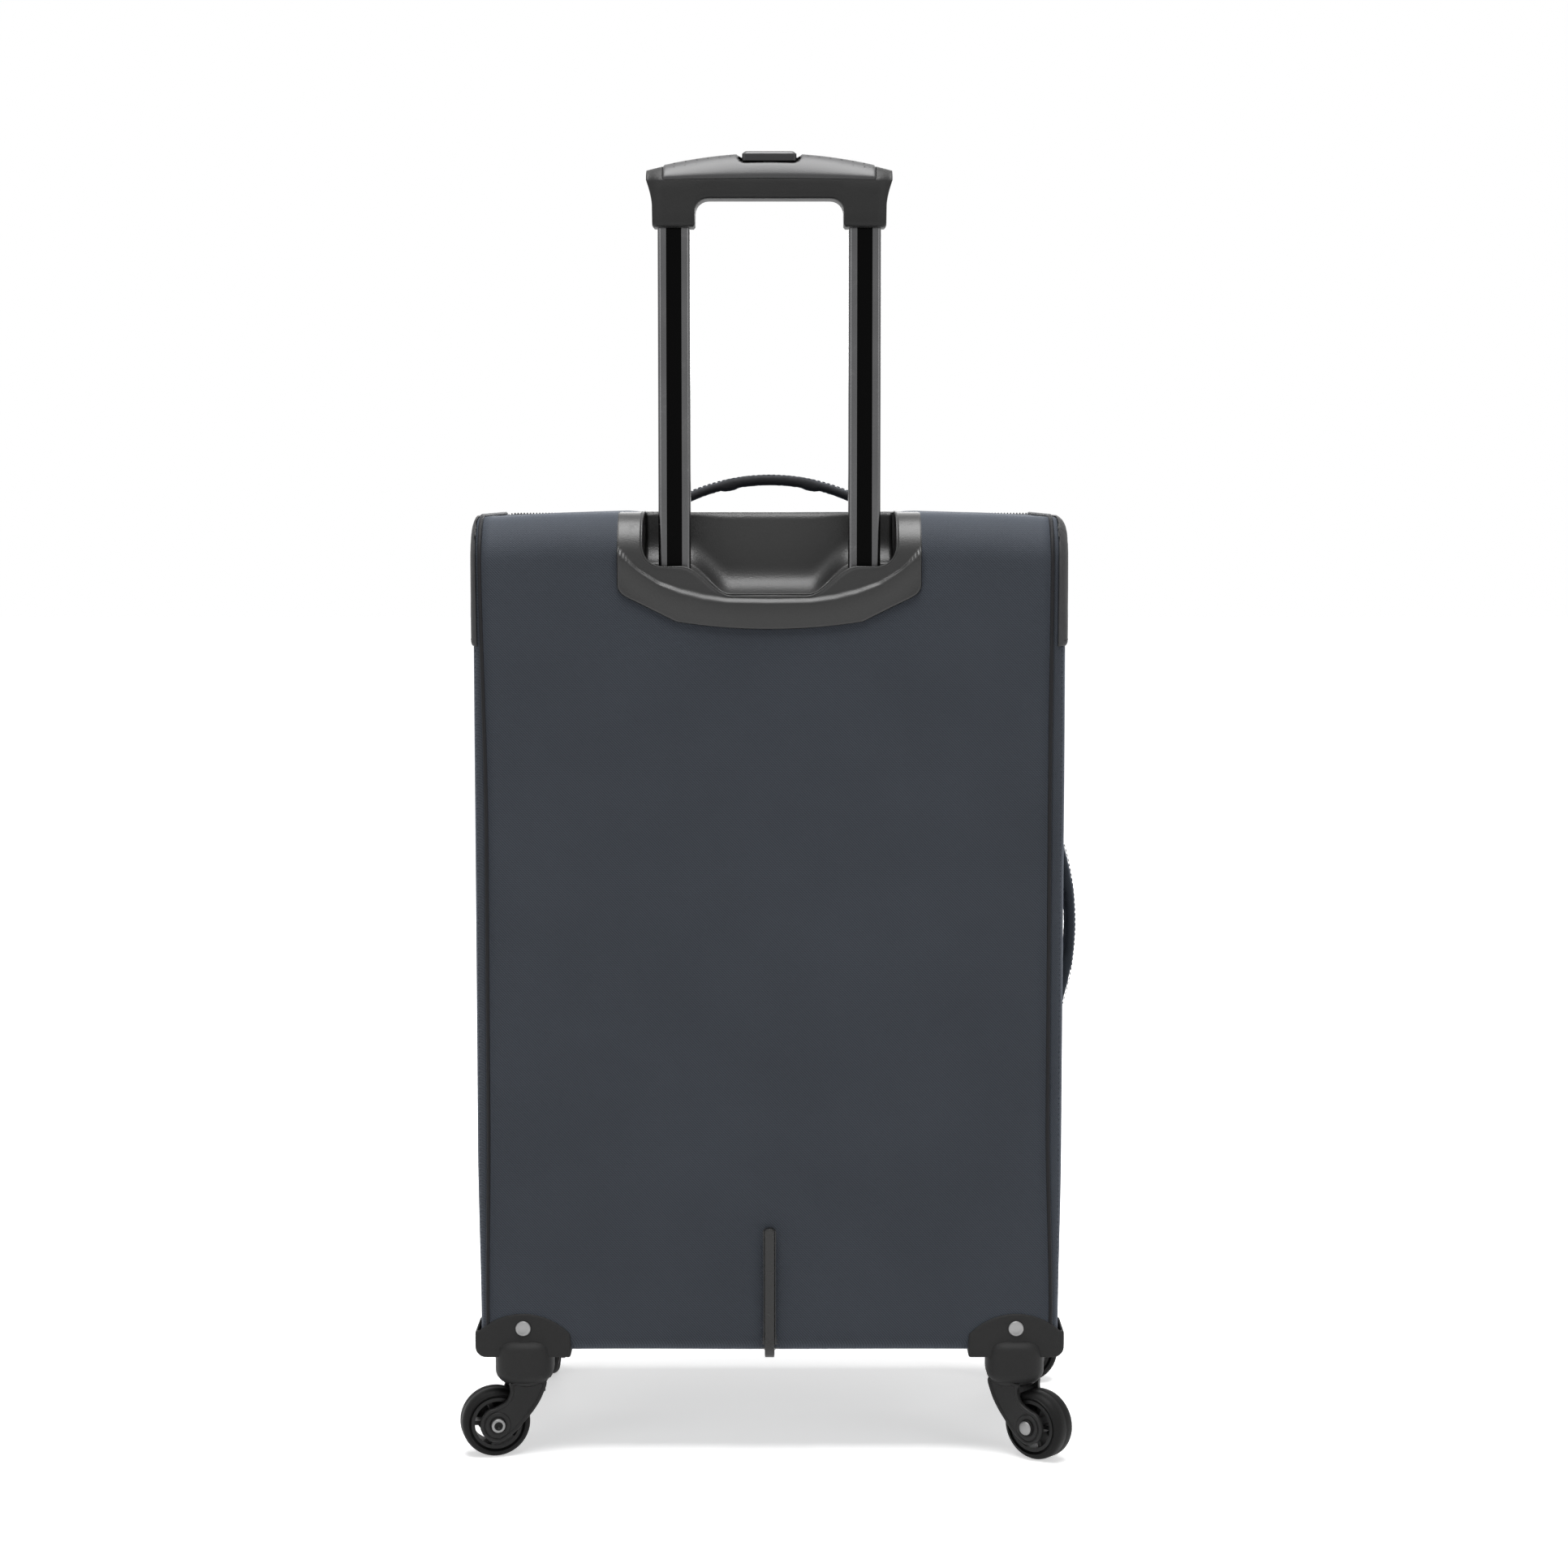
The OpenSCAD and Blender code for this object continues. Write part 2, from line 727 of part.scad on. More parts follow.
// The moulding that wraps the near left bottom corner and carries its swivel.
module corner_bracket() {
    centre = -(bracket_x + bracket_out) / 2;
    half = (bracket_out - bracket_x) / 2;
    sag = bracket_top - bracket_shoulder;
    arch = (half * half + sag * sag) / (2 * sag);
    reach = 2 * swivel_inset + 16;
    difference() {
        union() {
            along_y(-flange_t, base_edge_r) intersection() {
                translate([centre, bracket_top - arch]) circle(arch, $fn = 96);
                translate([centre - half, -bracket_low]) square([2 * half, 2 * arch]);
            }
            along_x(-bracket_out, -half_w + base_edge_r)
                plate(-flange_t, -bracket_low, reach, bracket_shoulder + 3, [4, 4, 12, 2]);
            translate([0, 0, -bracket_low]) linear_extrude(bracket_low + 2)
                plate(-bracket_out, -flange_t, -bracket_x, reach, [8, 4, 10, 4]);
            translate([-swivel_x, swivel_inset, cup_low - case_lift])
                cylinder(r = swivel_d / 2, h = case_lift - cup_low + 8, $fn = 64);
        }
        case_block(seat_gap);
        along_x(-seam_x - piping_r - 0.2, -seam_x + piping_r + 0.2) side_view(-1);
        translate([-swivel_x, swivel_inset, cup_low - case_lift - past])
            cylinder(r = kingpin_r + run_gap, h = 19, $fn = 48);
        translate([-swivel_x, -10, rivet_z]) rotate([-90, 0, 0])
            cylinder(r = 2.1, h = 20, $fn = 24);
    }
}

module at_corners() {
    for (corner = NEAR_FAR) translate([0, corner[2] * body_d, 0])
        mirror([0, corner[2], 0]) mirror([corner[1] > 0 ? 1 : 0, 0, 0]) children();
}

module corner_brackets() color([0.09, 0.09, 0.09]) in_case() at_corners() corner_bracket();

module bracket_rivets() color([0.45, 0.45, 0.46]) in_case() at_corners()
    translate([-swivel_x, 0, rivet_z]) rotate([90, 0, 0]) {
        translate([0, 0, 0.3]) cylinder(r = 2, h = flange_t, $fn = 24);
        translate([0, 0, flange_t]) cylinder(r = 5.2, h = 1.2, $fn = 40);
    }

// Draws children for the caster numbered i, with its swivel axis on Z and its wheel behind
// on +X.
module at_caster(i) {
    corner = NEAR_FAR[i];
    y = back_y + (corner[2] == 0 ? swivel_inset : body_d - swivel_inset);
    translate([corner[1] * swivel_x, y, 0]) rotate([0, 0, trail_angles[i]]) children();
}

// One arm of a fork seen from the side.
module arm_view() {
    difference() {
        union() {
            polygon([[-12.5, fork_top], [11.5, fork_top], [12.5, fork_top - 8.7], [16, fork_top - 15.2],
                     [wheel_trail, axle_z + 12], [wheel_trail, axle_z - 12],
                     [12, axle_z - 9], [3, axle_z - 1.5], [-5.5, axle_z + 9],
                     [-11, fork_top - 9.7]]);
            translate([wheel_trail, axle_z]) circle(12);
        }
        translate([wheel_trail, axle_z]) circle(axle_r + 0.02);
    }
}

module fork(i) color([0.08, 0.08, 0.08]) at_caster(i) {
    difference() {
        union() {
            for (side = [-1, 1])
                along_y(side > 0 ? arm_in : -arm_in - arm_t,
                        side > 0 ? arm_in + arm_t : -arm_in) arm_view();
            translate([0, 0, fork_low]) cylinder(r = 15.5, h = fork_top - fork_low, $fn = 48);
            translate([-12.5, -arm_in - 1, 40]) cube([3.5, 2 * arm_in + 2, fork_top - 40]);
        }
        translate([0, 0, fork_low - past])
            cylinder(r = kingpin_r + 0.02, h = fork_top, $fn = 48);
    }
}

module pins(i) color([0.62, 0.62, 0.63]) at_caster(i) {
    union() {
        translate([0, 0, fork_low - 1.5]) cylinder(r = 6.5, h = 1.45, $fn = 32);
        translate([0, 0, fork_low - 0.1]) cylinder(r = kingpin_r, h = 20, $fn = 48);
    }
    translate([wheel_trail, 0, axle_z]) rotate([90, 0, 0]) {
        half = arm_in + arm_t;
        translate([0, 0, -half - 0.9]) cylinder(r = axle_r, h = 2 * half + 1.8, $fn = 40);
        translate([0, 0, half + 0.05]) cylinder(r = 3.95, h = 1.4, $fn = 32);
        translate([0, 0, -half - 1.65]) cylinder(r = 4.8, h = 1.6, $fn = 32);
    }
}

module hub(i) color([0.07, 0.07, 0.07]) at_caster(i)
    translate([wheel_trail, 0, axle_z]) rotate([90, 0, 0]) difference() {
        union() {
            translate([0, 0, -wheel_w / 2 + 0.2]) cylinder(r = 7, h = wheel_w - 0.4, $fn = 48);
            difference() {
                translate([0, 0, -wheel_w / 2 + 1]) cylinder(r = hub_r, h = wheel_w - 2, $fn = 64);
                translate([0, 0, -wheel_w / 2]) cylinder(r = hub_r - 2.5, h = wheel_w, $fn = 64);
            }
            for (turn = [0:72:288]) rotate([0, 0, turn])
                translate([5, -1.5, -5]) cube([hub_r - 6.5, 3, 10]);
        }
        translate([0, 0, -wheel_w]) cylinder(r = axle_r + run_gap, h = 2 * wheel_w, $fn = 48);
    }

module tyre(i) color([0.05, 0.05, 0.05]) at_caster(i)
    translate([wheel_trail, 0, axle_z]) rotate([90, 0, 0]) rotate_extrude($fn = 72)
        plate(hub_r + 0.03, -wheel_w / 2, wheel_d / 2, wheel_w / 2, [0, 5.5, 5.5, 0]);

// ---- lid, pockets and zips ----

module tape_ring() {
    difference() {
        lid_view(0);
        lid_view(1.6);
    }
}
module zip_tape_body() color([0.03, 0.03, 0.03]) in_case() along_y(body_d, body_d + tape_w) tape_ring();
module lid_tape() color([0.03, 0.03, 0.03]) in_case() along_y(lid_y - tape_w, lid_y) tape_ring();

module lid_panel() color([0.20, 0.23, 0.27]) in_case() {
    along_y(lid_y, lid_y + lid_t - piping_d) lid_view(0);
    along_y(lid_y, lid_y + lid_t) lid_view(piping_d + seat_gap);
}

module lid_piping() color([0.03, 0.03, 0.03]) in_case()
    along_y(lid_y + lid_t - piping_d, lid_y + lid_t) difference() {
        lid_view(0);
        lid_view(piping_d);
    }

module pocket(z, thick) {
    half = pocket_w / 2;
    along_y(lid_y + lid_t, lid_y + lid_t + thick) plate(-half, z[0], half, z[1], [20, 20, 8, 8]);
}
module lower_pocket() color([0.20, 0.23, 0.27]) in_case() pocket(lower_pocket_z, lower_pocket_t);
module upper_pocket() color([0.20, 0.23, 0.27]) in_case() pocket(upper_pocket_z, upper_pocket_t);

// A zip slider on the XY plane, facing +Z, with two ears and the pin that holds the puller.
module slider(wide, long) {
    translate([-wide / 2, -long / 2, soft_gap]) cube([wide, long, 2.6]);
    for (side = [-1, 1]) translate([side * 2.7 - 0.5, -1.5, soft_gap + 2.5]) cube([1, 3, 3.6]);
    translate([-3, 0, pin_stand]) rotate([0, 90, 0]) cylinder(r = 0.8, h = 6, $fn = 24);
}

// The puller that hangs from a slider's pin towards -Y.
module puller(length) {
    difference() {
        union() {
            translate([-1.9, 0, pin_stand]) rotate([0, 90, 0])
                cylinder(r = 1.8, h = 3.8, $fn = 32);
            translate([-1.9, -5, pin_stand - 1]) cube([3.8, 5, 2]);
            translate([0, -length, pin_stand - 1]) linear_extrude(2)
                plate(-3, 0, 3, length - 3, [2.5, 2.5, 1, 1]);
        }
        translate([-past - 2, 0, pin_stand]) rotate([0, 90, 0])
            cylinder(r = 0.8 + run_gap, h = 6, $fn = 24);
    }
}

module on_zip() translate([half_w, zip_y, main_slider_z]) rotate([90, 0, 90]) children();
module on_pocket(z, thick) {
    translate([pocket_slider_x, lid_y + lid_t + thick, z[1] - 12]) rotate([90, 0, 180]) children();
}

module main_slider() color([0.3, 0.3, 0.3]) in_case() on_zip() slider(slider_wide, slider_len);
module main_puller() color([0.25, 0.25, 0.25]) in_case() on_zip() puller(34);
module lower_pocket_slider() color([0.3, 0.3, 0.3]) in_case()
    on_pocket(lower_pocket_z, lower_pocket_t) slider(slider_len, slider_wide);
module lower_pocket_puller() color([0.25, 0.25, 0.25]) in_case()
    on_pocket(lower_pocket_z, lower_pocket_t) puller(30);
module upper_pocket_slider() color([0.3, 0.3, 0.3]) in_case()
    on_pocket(upper_pocket_z, upper_pocket_t) slider(slider_len, slider_wide);
module upper_pocket_puller() color([0.25, 0.25, 0.25]) in_case()
    on_pocket(upper_pocket_z, upper_pocket_t) puller(30);

fabric_wrap();
side_skin_left();
side_skin_right();
back_board();
top_board();
side_boards();
base_tray();
lining();
rim_hoop();
piping();
corner_trims();
trolley_cup();
outer_tubes();
tube_foot();
top_handle();
side_handle();
handle_anchors();
skid();
corner_brackets();
bracket_rivets();
packing_straps();
strap_buckles();
zip_tape_body();
middle_tubes();
middle_collars();
inner_tubes();
inner_shoes();
trolley_grip();
grip_pad();
push_rods();
button_spring();
release_button();
lid_panel();
lid_tape();
lid_piping();
lower_pocket();
upper_pocket();
main_slider();
main_puller();
lower_pocket_slider();
lower_pocket_puller();
upper_pocket_slider();
upper_pocket_puller();
fork(0);  // fork_near_left
fork(1);  // fork_near_right
fork(2);  // fork_far_left
fork(3);  // fork_far_right
pins(0);  // pins_near_left
pins(1);  // pins_near_right
pins(2);  // pins_far_left
pins(3);  // pins_far_right
hub(0);  // hub_near_left
hub(1);  // hub_near_right
hub(2);  // hub_far_left
hub(3);  // hub_far_right
tyre(0);  // tyre_near_left
tyre(1);  // tyre_near_right
tyre(2);  // tyre_far_left
tyre(3);  // tyre_far_right
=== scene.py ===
import math

import bmesh
import bpy
from mathutils import Matrix, Vector, noise


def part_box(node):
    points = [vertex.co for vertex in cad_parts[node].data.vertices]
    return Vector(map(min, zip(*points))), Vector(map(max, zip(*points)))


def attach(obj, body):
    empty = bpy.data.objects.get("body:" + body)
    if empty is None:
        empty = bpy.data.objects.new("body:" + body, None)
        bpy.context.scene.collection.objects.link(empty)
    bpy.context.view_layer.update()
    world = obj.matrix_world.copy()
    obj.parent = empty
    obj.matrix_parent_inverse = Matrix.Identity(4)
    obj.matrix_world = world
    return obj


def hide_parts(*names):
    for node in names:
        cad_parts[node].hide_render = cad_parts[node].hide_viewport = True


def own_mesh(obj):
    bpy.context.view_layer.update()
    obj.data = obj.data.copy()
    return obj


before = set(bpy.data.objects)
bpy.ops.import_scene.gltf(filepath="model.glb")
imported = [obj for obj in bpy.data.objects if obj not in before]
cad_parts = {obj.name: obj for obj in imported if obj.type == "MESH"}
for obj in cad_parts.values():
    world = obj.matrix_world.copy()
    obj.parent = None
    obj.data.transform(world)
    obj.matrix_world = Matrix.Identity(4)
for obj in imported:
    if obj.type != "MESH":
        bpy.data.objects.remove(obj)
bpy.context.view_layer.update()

# ---- Camera ----
# It stands behind the suitcase, a little above its top, and looks a little down.
# The back panel's face, the underside and the top are the planes that the rest is laid out on.
back_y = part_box("fabric_wrap")[0].y
under_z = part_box("fabric_wrap")[0].z
top_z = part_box("fabric_wrap")[1].z
camera_back = 2.291
camera_side = 0.010
camera_height = 0.674
camera_down = 5.05

camera_data = bpy.data.cameras.new("camera")
camera_data.sensor_width = 36.0
camera_data.lens = 77.14
camera = bpy.data.objects.new("camera", camera_data)
camera.location = (camera_side, back_y - camera_back, camera_height)
camera.rotation_euler = (math.radians(90 - camera_down), 0, 0)
bpy.context.scene.collection.objects.link(camera)
bpy.context.scene.camera = camera

# ---- Studio ----
# A pale floor that keeps the soft shadow and brightens away from the suitcase, an even white
# surround, one broad lamp overhead and three weak ones around it.
bpy.context.scene.view_settings.view_transform = "Standard"


def add_node(tree, kind, **values):
    """A shader node, with each value set on the input or the property of that name."""
    node = tree.nodes.new(kind)
    for key, value in values.items():
        name = key.replace("_", " ")
        if name in node.inputs:
            node.inputs[name].default_value = value
        else:
            setattr(node, key, value)
    return node


def background_rays(tree):
    """A mask that is 1 for the rays that should see the plain white surround."""
    path = add_node(tree, "ShaderNodeLightPath")
    either = add_node(tree, "ShaderNodeMath", operation="MAXIMUM")
    tree.links.new(path.outputs["Is Camera Ray"], either.inputs[0])
    tree.links.new(path.outputs["Is Glossy Ray"], either.inputs[1])
    both = add_node(tree, "ShaderNodeMath", operation="MAXIMUM")
    tree.links.new(either.outputs[0], both.inputs[0])
    tree.links.new(path.outputs["Is Transmission Ray"], both.inputs[1])
    return both.outputs[0]


world = bpy.data.worlds.new("surround")
bpy.context.scene.world = world
world.use_nodes = True
tree = world.node_tree
tree.nodes.clear()
soft_sky = add_node(tree, "ShaderNodeBackground", Color=(1, 1, 1, 1), Strength=0.24)
white_sky = add_node(tree, "ShaderNodeBackground", Color=(1, 1, 1, 1), Strength=1.0)
pick = add_node(tree, "ShaderNodeMixShader")
tree.links.new(background_rays(tree), pick.inputs[0])
tree.links.new(soft_sky.outputs[0], pick.inputs[1])
tree.links.new(white_sky.outputs[0], pick.inputs[2])
tree.links.new(pick.outputs[0], add_node(tree, "ShaderNodeOutputWorld").inputs[0])

bpy.ops.mesh.primitive_plane_add(size=30, location=(0, 0, 0))
floor = bpy.context.object
floor.name = "floor"
floor_paint = bpy.data.materials.new("floor_paint")
floor_paint.use_nodes = True
tree = floor_paint.node_tree
tree.nodes.clear()
matt = add_node(tree, "ShaderNodeBsdfDiffuse", Color=(0.90, 0.90, 0.90, 1))
glow = add_node(tree, "ShaderNodeEmission", Color=(1, 1, 1, 1))
lift = add_node(tree, "ShaderNodeMath", operation="MULTIPLY")
far = add_node(tree, "ShaderNodeVectorMath", operation="LENGTH")
tree.links.new(add_node(tree, "ShaderNodeNewGeometry").outputs["Position"], far.inputs[0])
fade = add_node(tree, "ShaderNodeMapRange", interpolation_type="SMOOTHSTEP")
fade_start, fade_end, near_glow, far_glow = 0.30, 1.10, 0.52, 0.92
for i, value in enumerate((fade_start, fade_end, near_glow, far_glow)):
    fade.inputs[i + 1].default_value = value
tree.links.new(far.outputs["Value"], fade.inputs["Value"])
tree.links.new(fade.outputs["Result"], lift.inputs[1])
tree.links.new(background_rays(tree), lift.inputs[0])
tree.links.new(lift.outputs[0], glow.inputs["Strength"])
both = add_node(tree, "ShaderNodeAddShader")
tree.links.new(matt.outputs[0], both.inputs[0])
tree.links.new(glow.outputs[0], both.inputs[1])
tree.links.new(both.outputs[0], add_node(tree, "ShaderNodeOutputMaterial").inputs[0])
floor.data.materials.append(floor_paint)

for name, place, size, power in (
    ("overhead", (0.0, -0.35, 2.3), 1.5, 84.0),
    ("left_fill", (-2.2, -2.6, 1.3), 1.4, 14.0),
    ("right_fill", (2.4, -2.2, 1.5), 1.4, 14.0),
    ("front_fill", (0.3, 3.0, 1.6), 1.6, 22.0),
):
    lamp_data = bpy.data.lights.new(name, "AREA")
    lamp_data.size = size
    lamp_data.energy = power
    lamp = bpy.data.objects.new(name, lamp_data)
    lamp.location = place
    aim = Vector((0, 0, 0.45)) - Vector(place)
    lamp.rotation_euler = aim.to_track_quat("-Z", "Y").to_euler()
    bpy.context.scene.collection.objects.link(lamp)

# ---- Fabric cover: back, top, underside and front sill ----
# One strip of navy-grey polyester twill on thin foam, stretched over twin-wall boards.
# It is sewn to the side panels at the piping and cut out around the trolley cup.
case_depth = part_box("fabric_wrap")[1].y - back_y
half_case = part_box("side_skin_right")[1].x
seam_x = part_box("fabric_wrap")[1].x + 0.0015
top_edge_r = 0.030
base_edge_r = 0.012
sill_top = under_z + 0.032
fabric_t = 0.0012
body_colour = (0.0400, 0.0455, 0.0545)
# The darker colour is painted shade for the weave's hollows, not a second yarn.
body_shade_colour = (0.0190, 0.0220, 0.0280)


def shader_group(name, inputs, outputs):
    """An empty shader group with float or vector sockets, and its two end nodes."""
    group = bpy.data.node_groups.new(name, "ShaderNodeTree")
    for label, kind, value in inputs:
        socket = group.interface.new_socket(label, in_out="INPUT", socket_type=kind)
        if value is not None:
            socket.default_value = value
    for label, kind in outputs:
        group.interface.new_socket(label, in_out="OUTPUT", socket_type=kind)
    return group, group.nodes.new("NodeGroupInput"), group.nodes.new("NodeGroupOutput")


FLOAT, VECTOR = "NodeSocketFloat", "NodeSocketVector"

# Diagonal ribs crossed by finer threads, broken up by loose fibres and broad uneven dye.
twill, t_in, t_out = shader_group(
    "twill_weave",
    [("Vector", VECTOR, None), ("Rib Scale", FLOAT, 330.0), ("Fibre Scale", FLOAT, 2200.0)],
    [("Height", FLOAT), ("Hollow Shade", FLOAT), ("Dye", FLOAT)],
)
ribs = add_node(twill, "ShaderNodeTexWave", wave_type="BANDS", bands_direction="DIAGONAL",
                Distortion=0.6, Detail=1.0, Detail_Scale=2.0)
cross = add_node(twill, "ShaderNodeTexWave", wave_type="BANDS", bands_direction="Z",
                 Distortion=0.4, Detail=1.0)
fibre = add_node(twill, "ShaderNodeTexNoise", Detail=2.0, Roughness=0.7)
dye = add_node(twill, "ShaderNodeTexNoise", Scale=9.0, Detail=3.0, Roughness=0.6)
for texture in (ribs, cross, fibre, dye):
    twill.links.new(t_in.outputs["Vector"], texture.inputs["Vector"])
twill.links.new(t_in.outputs["Rib Scale"], ribs.inputs["Scale"])
twill.links.new(t_in.outputs["Rib Scale"], cross.inputs["Scale"])
twill.links.new(t_in.outputs["Fibre Scale"], fibre.inputs["Scale"])
weave = add_node(twill, "ShaderNodeMath", operation="MULTIPLY_ADD")
weave.inputs[1].default_value = 0.55
twill.links.new(cross.outputs["Fac"], weave.inputs[0])
twill.links.new(ribs.outputs["Fac"], weave.inputs[2])
fuzz = add_node(twill, "ShaderNodeMath", operation="MULTIPLY_ADD")
fuzz.inputs[1].default_value = 0.9
twill.links.new(fibre.outputs["Fac"], fuzz.inputs[0])
twill.links.new(weave.outputs[0], fuzz.inputs[2])
twill.links.new(fuzz.outputs[0], t_out.inputs["Height"])
# Painted shade: the weave's height, ramped, becomes a mask that darkens the cloth in its hollows.
thread = add_node(twill, "ShaderNodeMapRange", From_Min=0.5, From_Max=2.0, To_Min=0.0, To_Max=1.0)
twill.links.new(fuzz.outputs[0], thread.inputs["Value"])
twill.links.new(thread.outputs[0], t_out.inputs["Hollow Shade"])
twill.links.new(dye.outputs["Fac"], t_out.inputs["Dye"])


def woven(name, light, dark, rough=0.72, sheen=0.25, rib_scale=330.0, bump=0.00012):
    """A woven cloth: colour between dark and light by the weave's height, the dark being painted shade in
    its hollows, with its ribs as bump.
    """
    cloth = bpy.data.materials.new(name)
    cloth.use_nodes = True
    tree = cloth.node_tree
    shader = tree.nodes["Principled BSDF"]
    shader.inputs["Roughness"].default_value = rough
    shader.inputs["Specular IOR Level"].default_value = 0.12
    shader.inputs["Sheen Weight"].default_value = sheen
    shader.inputs["Sheen Roughness"].default_value = 0.45
    shader.inputs["Sheen Tint"].default_value = (0.55, 0.62, 0.75, 1)
    place = add_node(tree, "ShaderNodeTexCoord")
    weave = add_node(tree, "ShaderNodeGroup", node_tree=twill)
    weave.inputs["Rib Scale"].default_value = rib_scale
    tree.links.new(place.outputs["Object"], weave.inputs["Vector"])
    # Painted shade: the cloth is mixed towards its dark colour where the weave is low.
    shade = add_node(tree, "ShaderNodeMix", data_type="RGBA")
    shade.inputs[6].default_value = (*dark, 1)
    shade.inputs[7].default_value = (*light, 1)
    tree.links.new(weave.outputs["Hollow Shade"], shade.inputs[0])
    uneven = add_node(tree, "ShaderNodeMapRange", From_Min=0.3, From_Max=0.7, To_Min=0.93,
                      To_Max=1.07)
    tree.links.new(weave.outputs["Dye"], uneven.inputs["Value"])
    tone = add_node(tree, "ShaderNodeHueSaturation")
    tree.links.new(shade.outputs[2], tone.inputs["Color"])
    tree.links.new(uneven.outputs[0], tone.inputs["Value"])
    tree.links.new(tone.outputs[0], shader.inputs["Base Color"])
    relief = add_node(tree, "ShaderNodeBump", Strength=0.55, Distance=bump)
    tree.links.new(weave.outputs["Height"], relief.inputs["Height"])
    tree.links.new(relief.outputs[0], shader.inputs["Normal"])
    return cloth


body_cloth = woven("navy_twill", body_colour, body_shade_colour)


def mesh_piece(name, points, faces, material, smooth=True):
    """A new object from points and faces, with one material."""
    mesh = bpy.data.meshes.new(name)
    mesh.from_pydata(points, [], faces)
    mesh.validate()
    mesh.update()
    mesh.polygons.foreach_set("use_smooth", [smooth] * len(mesh.polygons))
    mesh.materials.append(material)
    piece = bpy.data.objects.new(name, mesh)
    bpy.context.scene.collection.objects.link(piece)
    return piece


def face_outwards(piece):
    """Turns all faces of a closed piece outwards."""
    shape = bmesh.new()
    shape.from_mesh(piece.data)
    bmesh.ops.recalc_face_normals(shape, faces=shape.faces)
    shape.to_mesh(piece.data)
    shape.free()
    return piece


def apply_modifiers(piece):
    """Bakes a piece's modifiers into its mesh."""
    graph = bpy.context.evaluated_depsgraph_get()
    mesh = bpy.data.meshes.new_from_object(piece.evaluated_get(graph))
    piece.modifiers.clear()
    piece.data = mesh
    return piece


def thicken(piece, thickness, offset=-1):
    """Gives a sheet its wall, inwards from its face or to both sides of it, and bakes it."""
    wall = piece.modifiers.new("wall", "SOLIDIFY")
    wall.thickness = thickness
    wall.offset = offset
    return apply_modifiers(piece)


def grid_faces(rows, columns, keep=lambda i, j: True):
    """Quads of a grid whose points are numbered row by row."""
    return [(i * columns + j, i * columns + j + 1, (i + 1) * columns + j + 1, (i + 1) * columns + j)
            for i in range(rows - 1) for j in range(columns - 1) if keep(i, j)]


def steps(start, end, size):
    """Evenly spaced values from start up to, but not including, end."""
    count = max(1, round(abs(end - start) / size))
    return [start + (end - start) * i / count for i in range(count)]


def corner_steps(centre_y, centre_z, radius, start, end, count=10):
    """Points and outward normals along a rounded edge, between two angles in degrees."""
    path = []
    for i in range(count):
        a = math.radians(start + (end - start) * i / count)
        path.append((centre_y + radius * math.cos(a), centre_z + radius * math.sin(a),
                     math.cos(a), math.sin(a)))
    return path


def strip_path():
    """The cover's path from the front of the top, over the back, to the top of the sill."""
    front_y = back_y + case_depth
    path = [(y, top_z, 0, 1) for y in steps(front_y, back_y + 0.054, 0.006)]
    path += [(y, top_z, 0, 1) for y in steps(back_y + 0.054, back_y + top_edge_r, 0.006)]
    path += corner_steps(back_y + top_edge_r, top_z - top_edge_r, top_edge_r, 90, 180, 14)
    path += [(back_y, z, -1, 0) for z in steps(top_z - top_edge_r, under_z + 0.523, 0.005)]
    path += [(back_y, z, -1, 0) for z in steps(under_z + 0.523, under_z + base_edge_r, 0.006)]
    path += corner_steps(back_y + base_edge_r, under_z + base_edge_r, base_edge_r, 180, 270, 7)
    path += [(y, under_z, 0, -1) for y in steps(back_y + base_edge_r, front_y - base_edge_r, 0.008)]
    path += corner_steps(front_y - base_edge_r, under_z + base_edge_r, base_edge_r, 270, 360, 7)
    path += [(front_y, z, 1, 0) for z in steps(under_z + base_edge_r, sill_top, 0.005)]
    return path + [(front_y, sill_top, 1, 0)]


def ease(value, low, high):
    """0 below low, 1 above high, and smooth between; low may be the larger."""
    t = min(1.0, max(0.0, (value - low) / (high - low)))
    return t * t * (3 - 2 * t)


def seam_at(side, z):
    """Where the side seam runs at a height: a hand-guided seam wanders by a few millimetres."""
    if side < 0:
        return -(seam_x - 0.0012 + 0.0035 * ease(z, 0.44, 0.64) + 0.0016 * ease(z, 0.24, 0.10))
    return seam_x - 0.0032 + 0.0010 * ease(z, 0.44, 0.64) + 0.0030 * ease(z, 0.24, 0.10)


def slack(x, y, z):
    """How far the stretched cloth stands off its board, in metres."""
    ripple = noise.noise(Vector((x * 9, y * 9 + 3.1, z * 6))) * 0.0007
    top = ease(z, top_z - 0.035, top_z - 0.005)
    near_cup = ease(abs(x), 0.165, 0.100) * ease(abs(x), 0.088, 0.106)
    puff = 0.0013 * near_cup * top
    droop = -0.0016 * ease(abs(x), seam_x - 0.045, seam_x) * top
    return ripple + puff + droop


cup_half = 0.088
columns = [round(-1 + i / 32, 6) for i in range(65)]
cup_columns = [min(columns, key=lambda u: abs(u * seam_x - cup_half))]
path = strip_path()
points = []
for y, z, ny, nz in path:
    for u in columns:
        low_x, high_x = seam_at(-1, z) + 0.0012, seam_at(1, z) - 0.0012
        x = low_x + (high_x - low_x) * (u + 1) / 2
        if z > under_z + 0.515 and abs(u) in cup_columns:
            x = math.copysign(cup_half, x)
        d = slack(x, y, z)
        points.append((x, y + ny * d, z + nz * d))
cup_rows = [i for i, (y, z, ny, nz) in enumerate(path)
            if z > under_z + 0.5229 and y < back_y + 0.0541]


def beside_cup(i, j):
    """False for the faces that the trolley cup's opening takes away."""
    if i not in cup_rows or i + 1 not in cup_rows:
        return True
    middle = (points[i * len(columns) + j][0] + points[i * len(columns) + j + 1][0]) / 2
    return abs(middle) > cup_half


cover = mesh_piece("back_top_cover", points, grid_faces(len(path), len(columns), beside_cup),
                   body_cloth)
thicken(cover, fabric_t)
face_outwards(cover)
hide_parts("fabric_wrap")
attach(cover, "case")

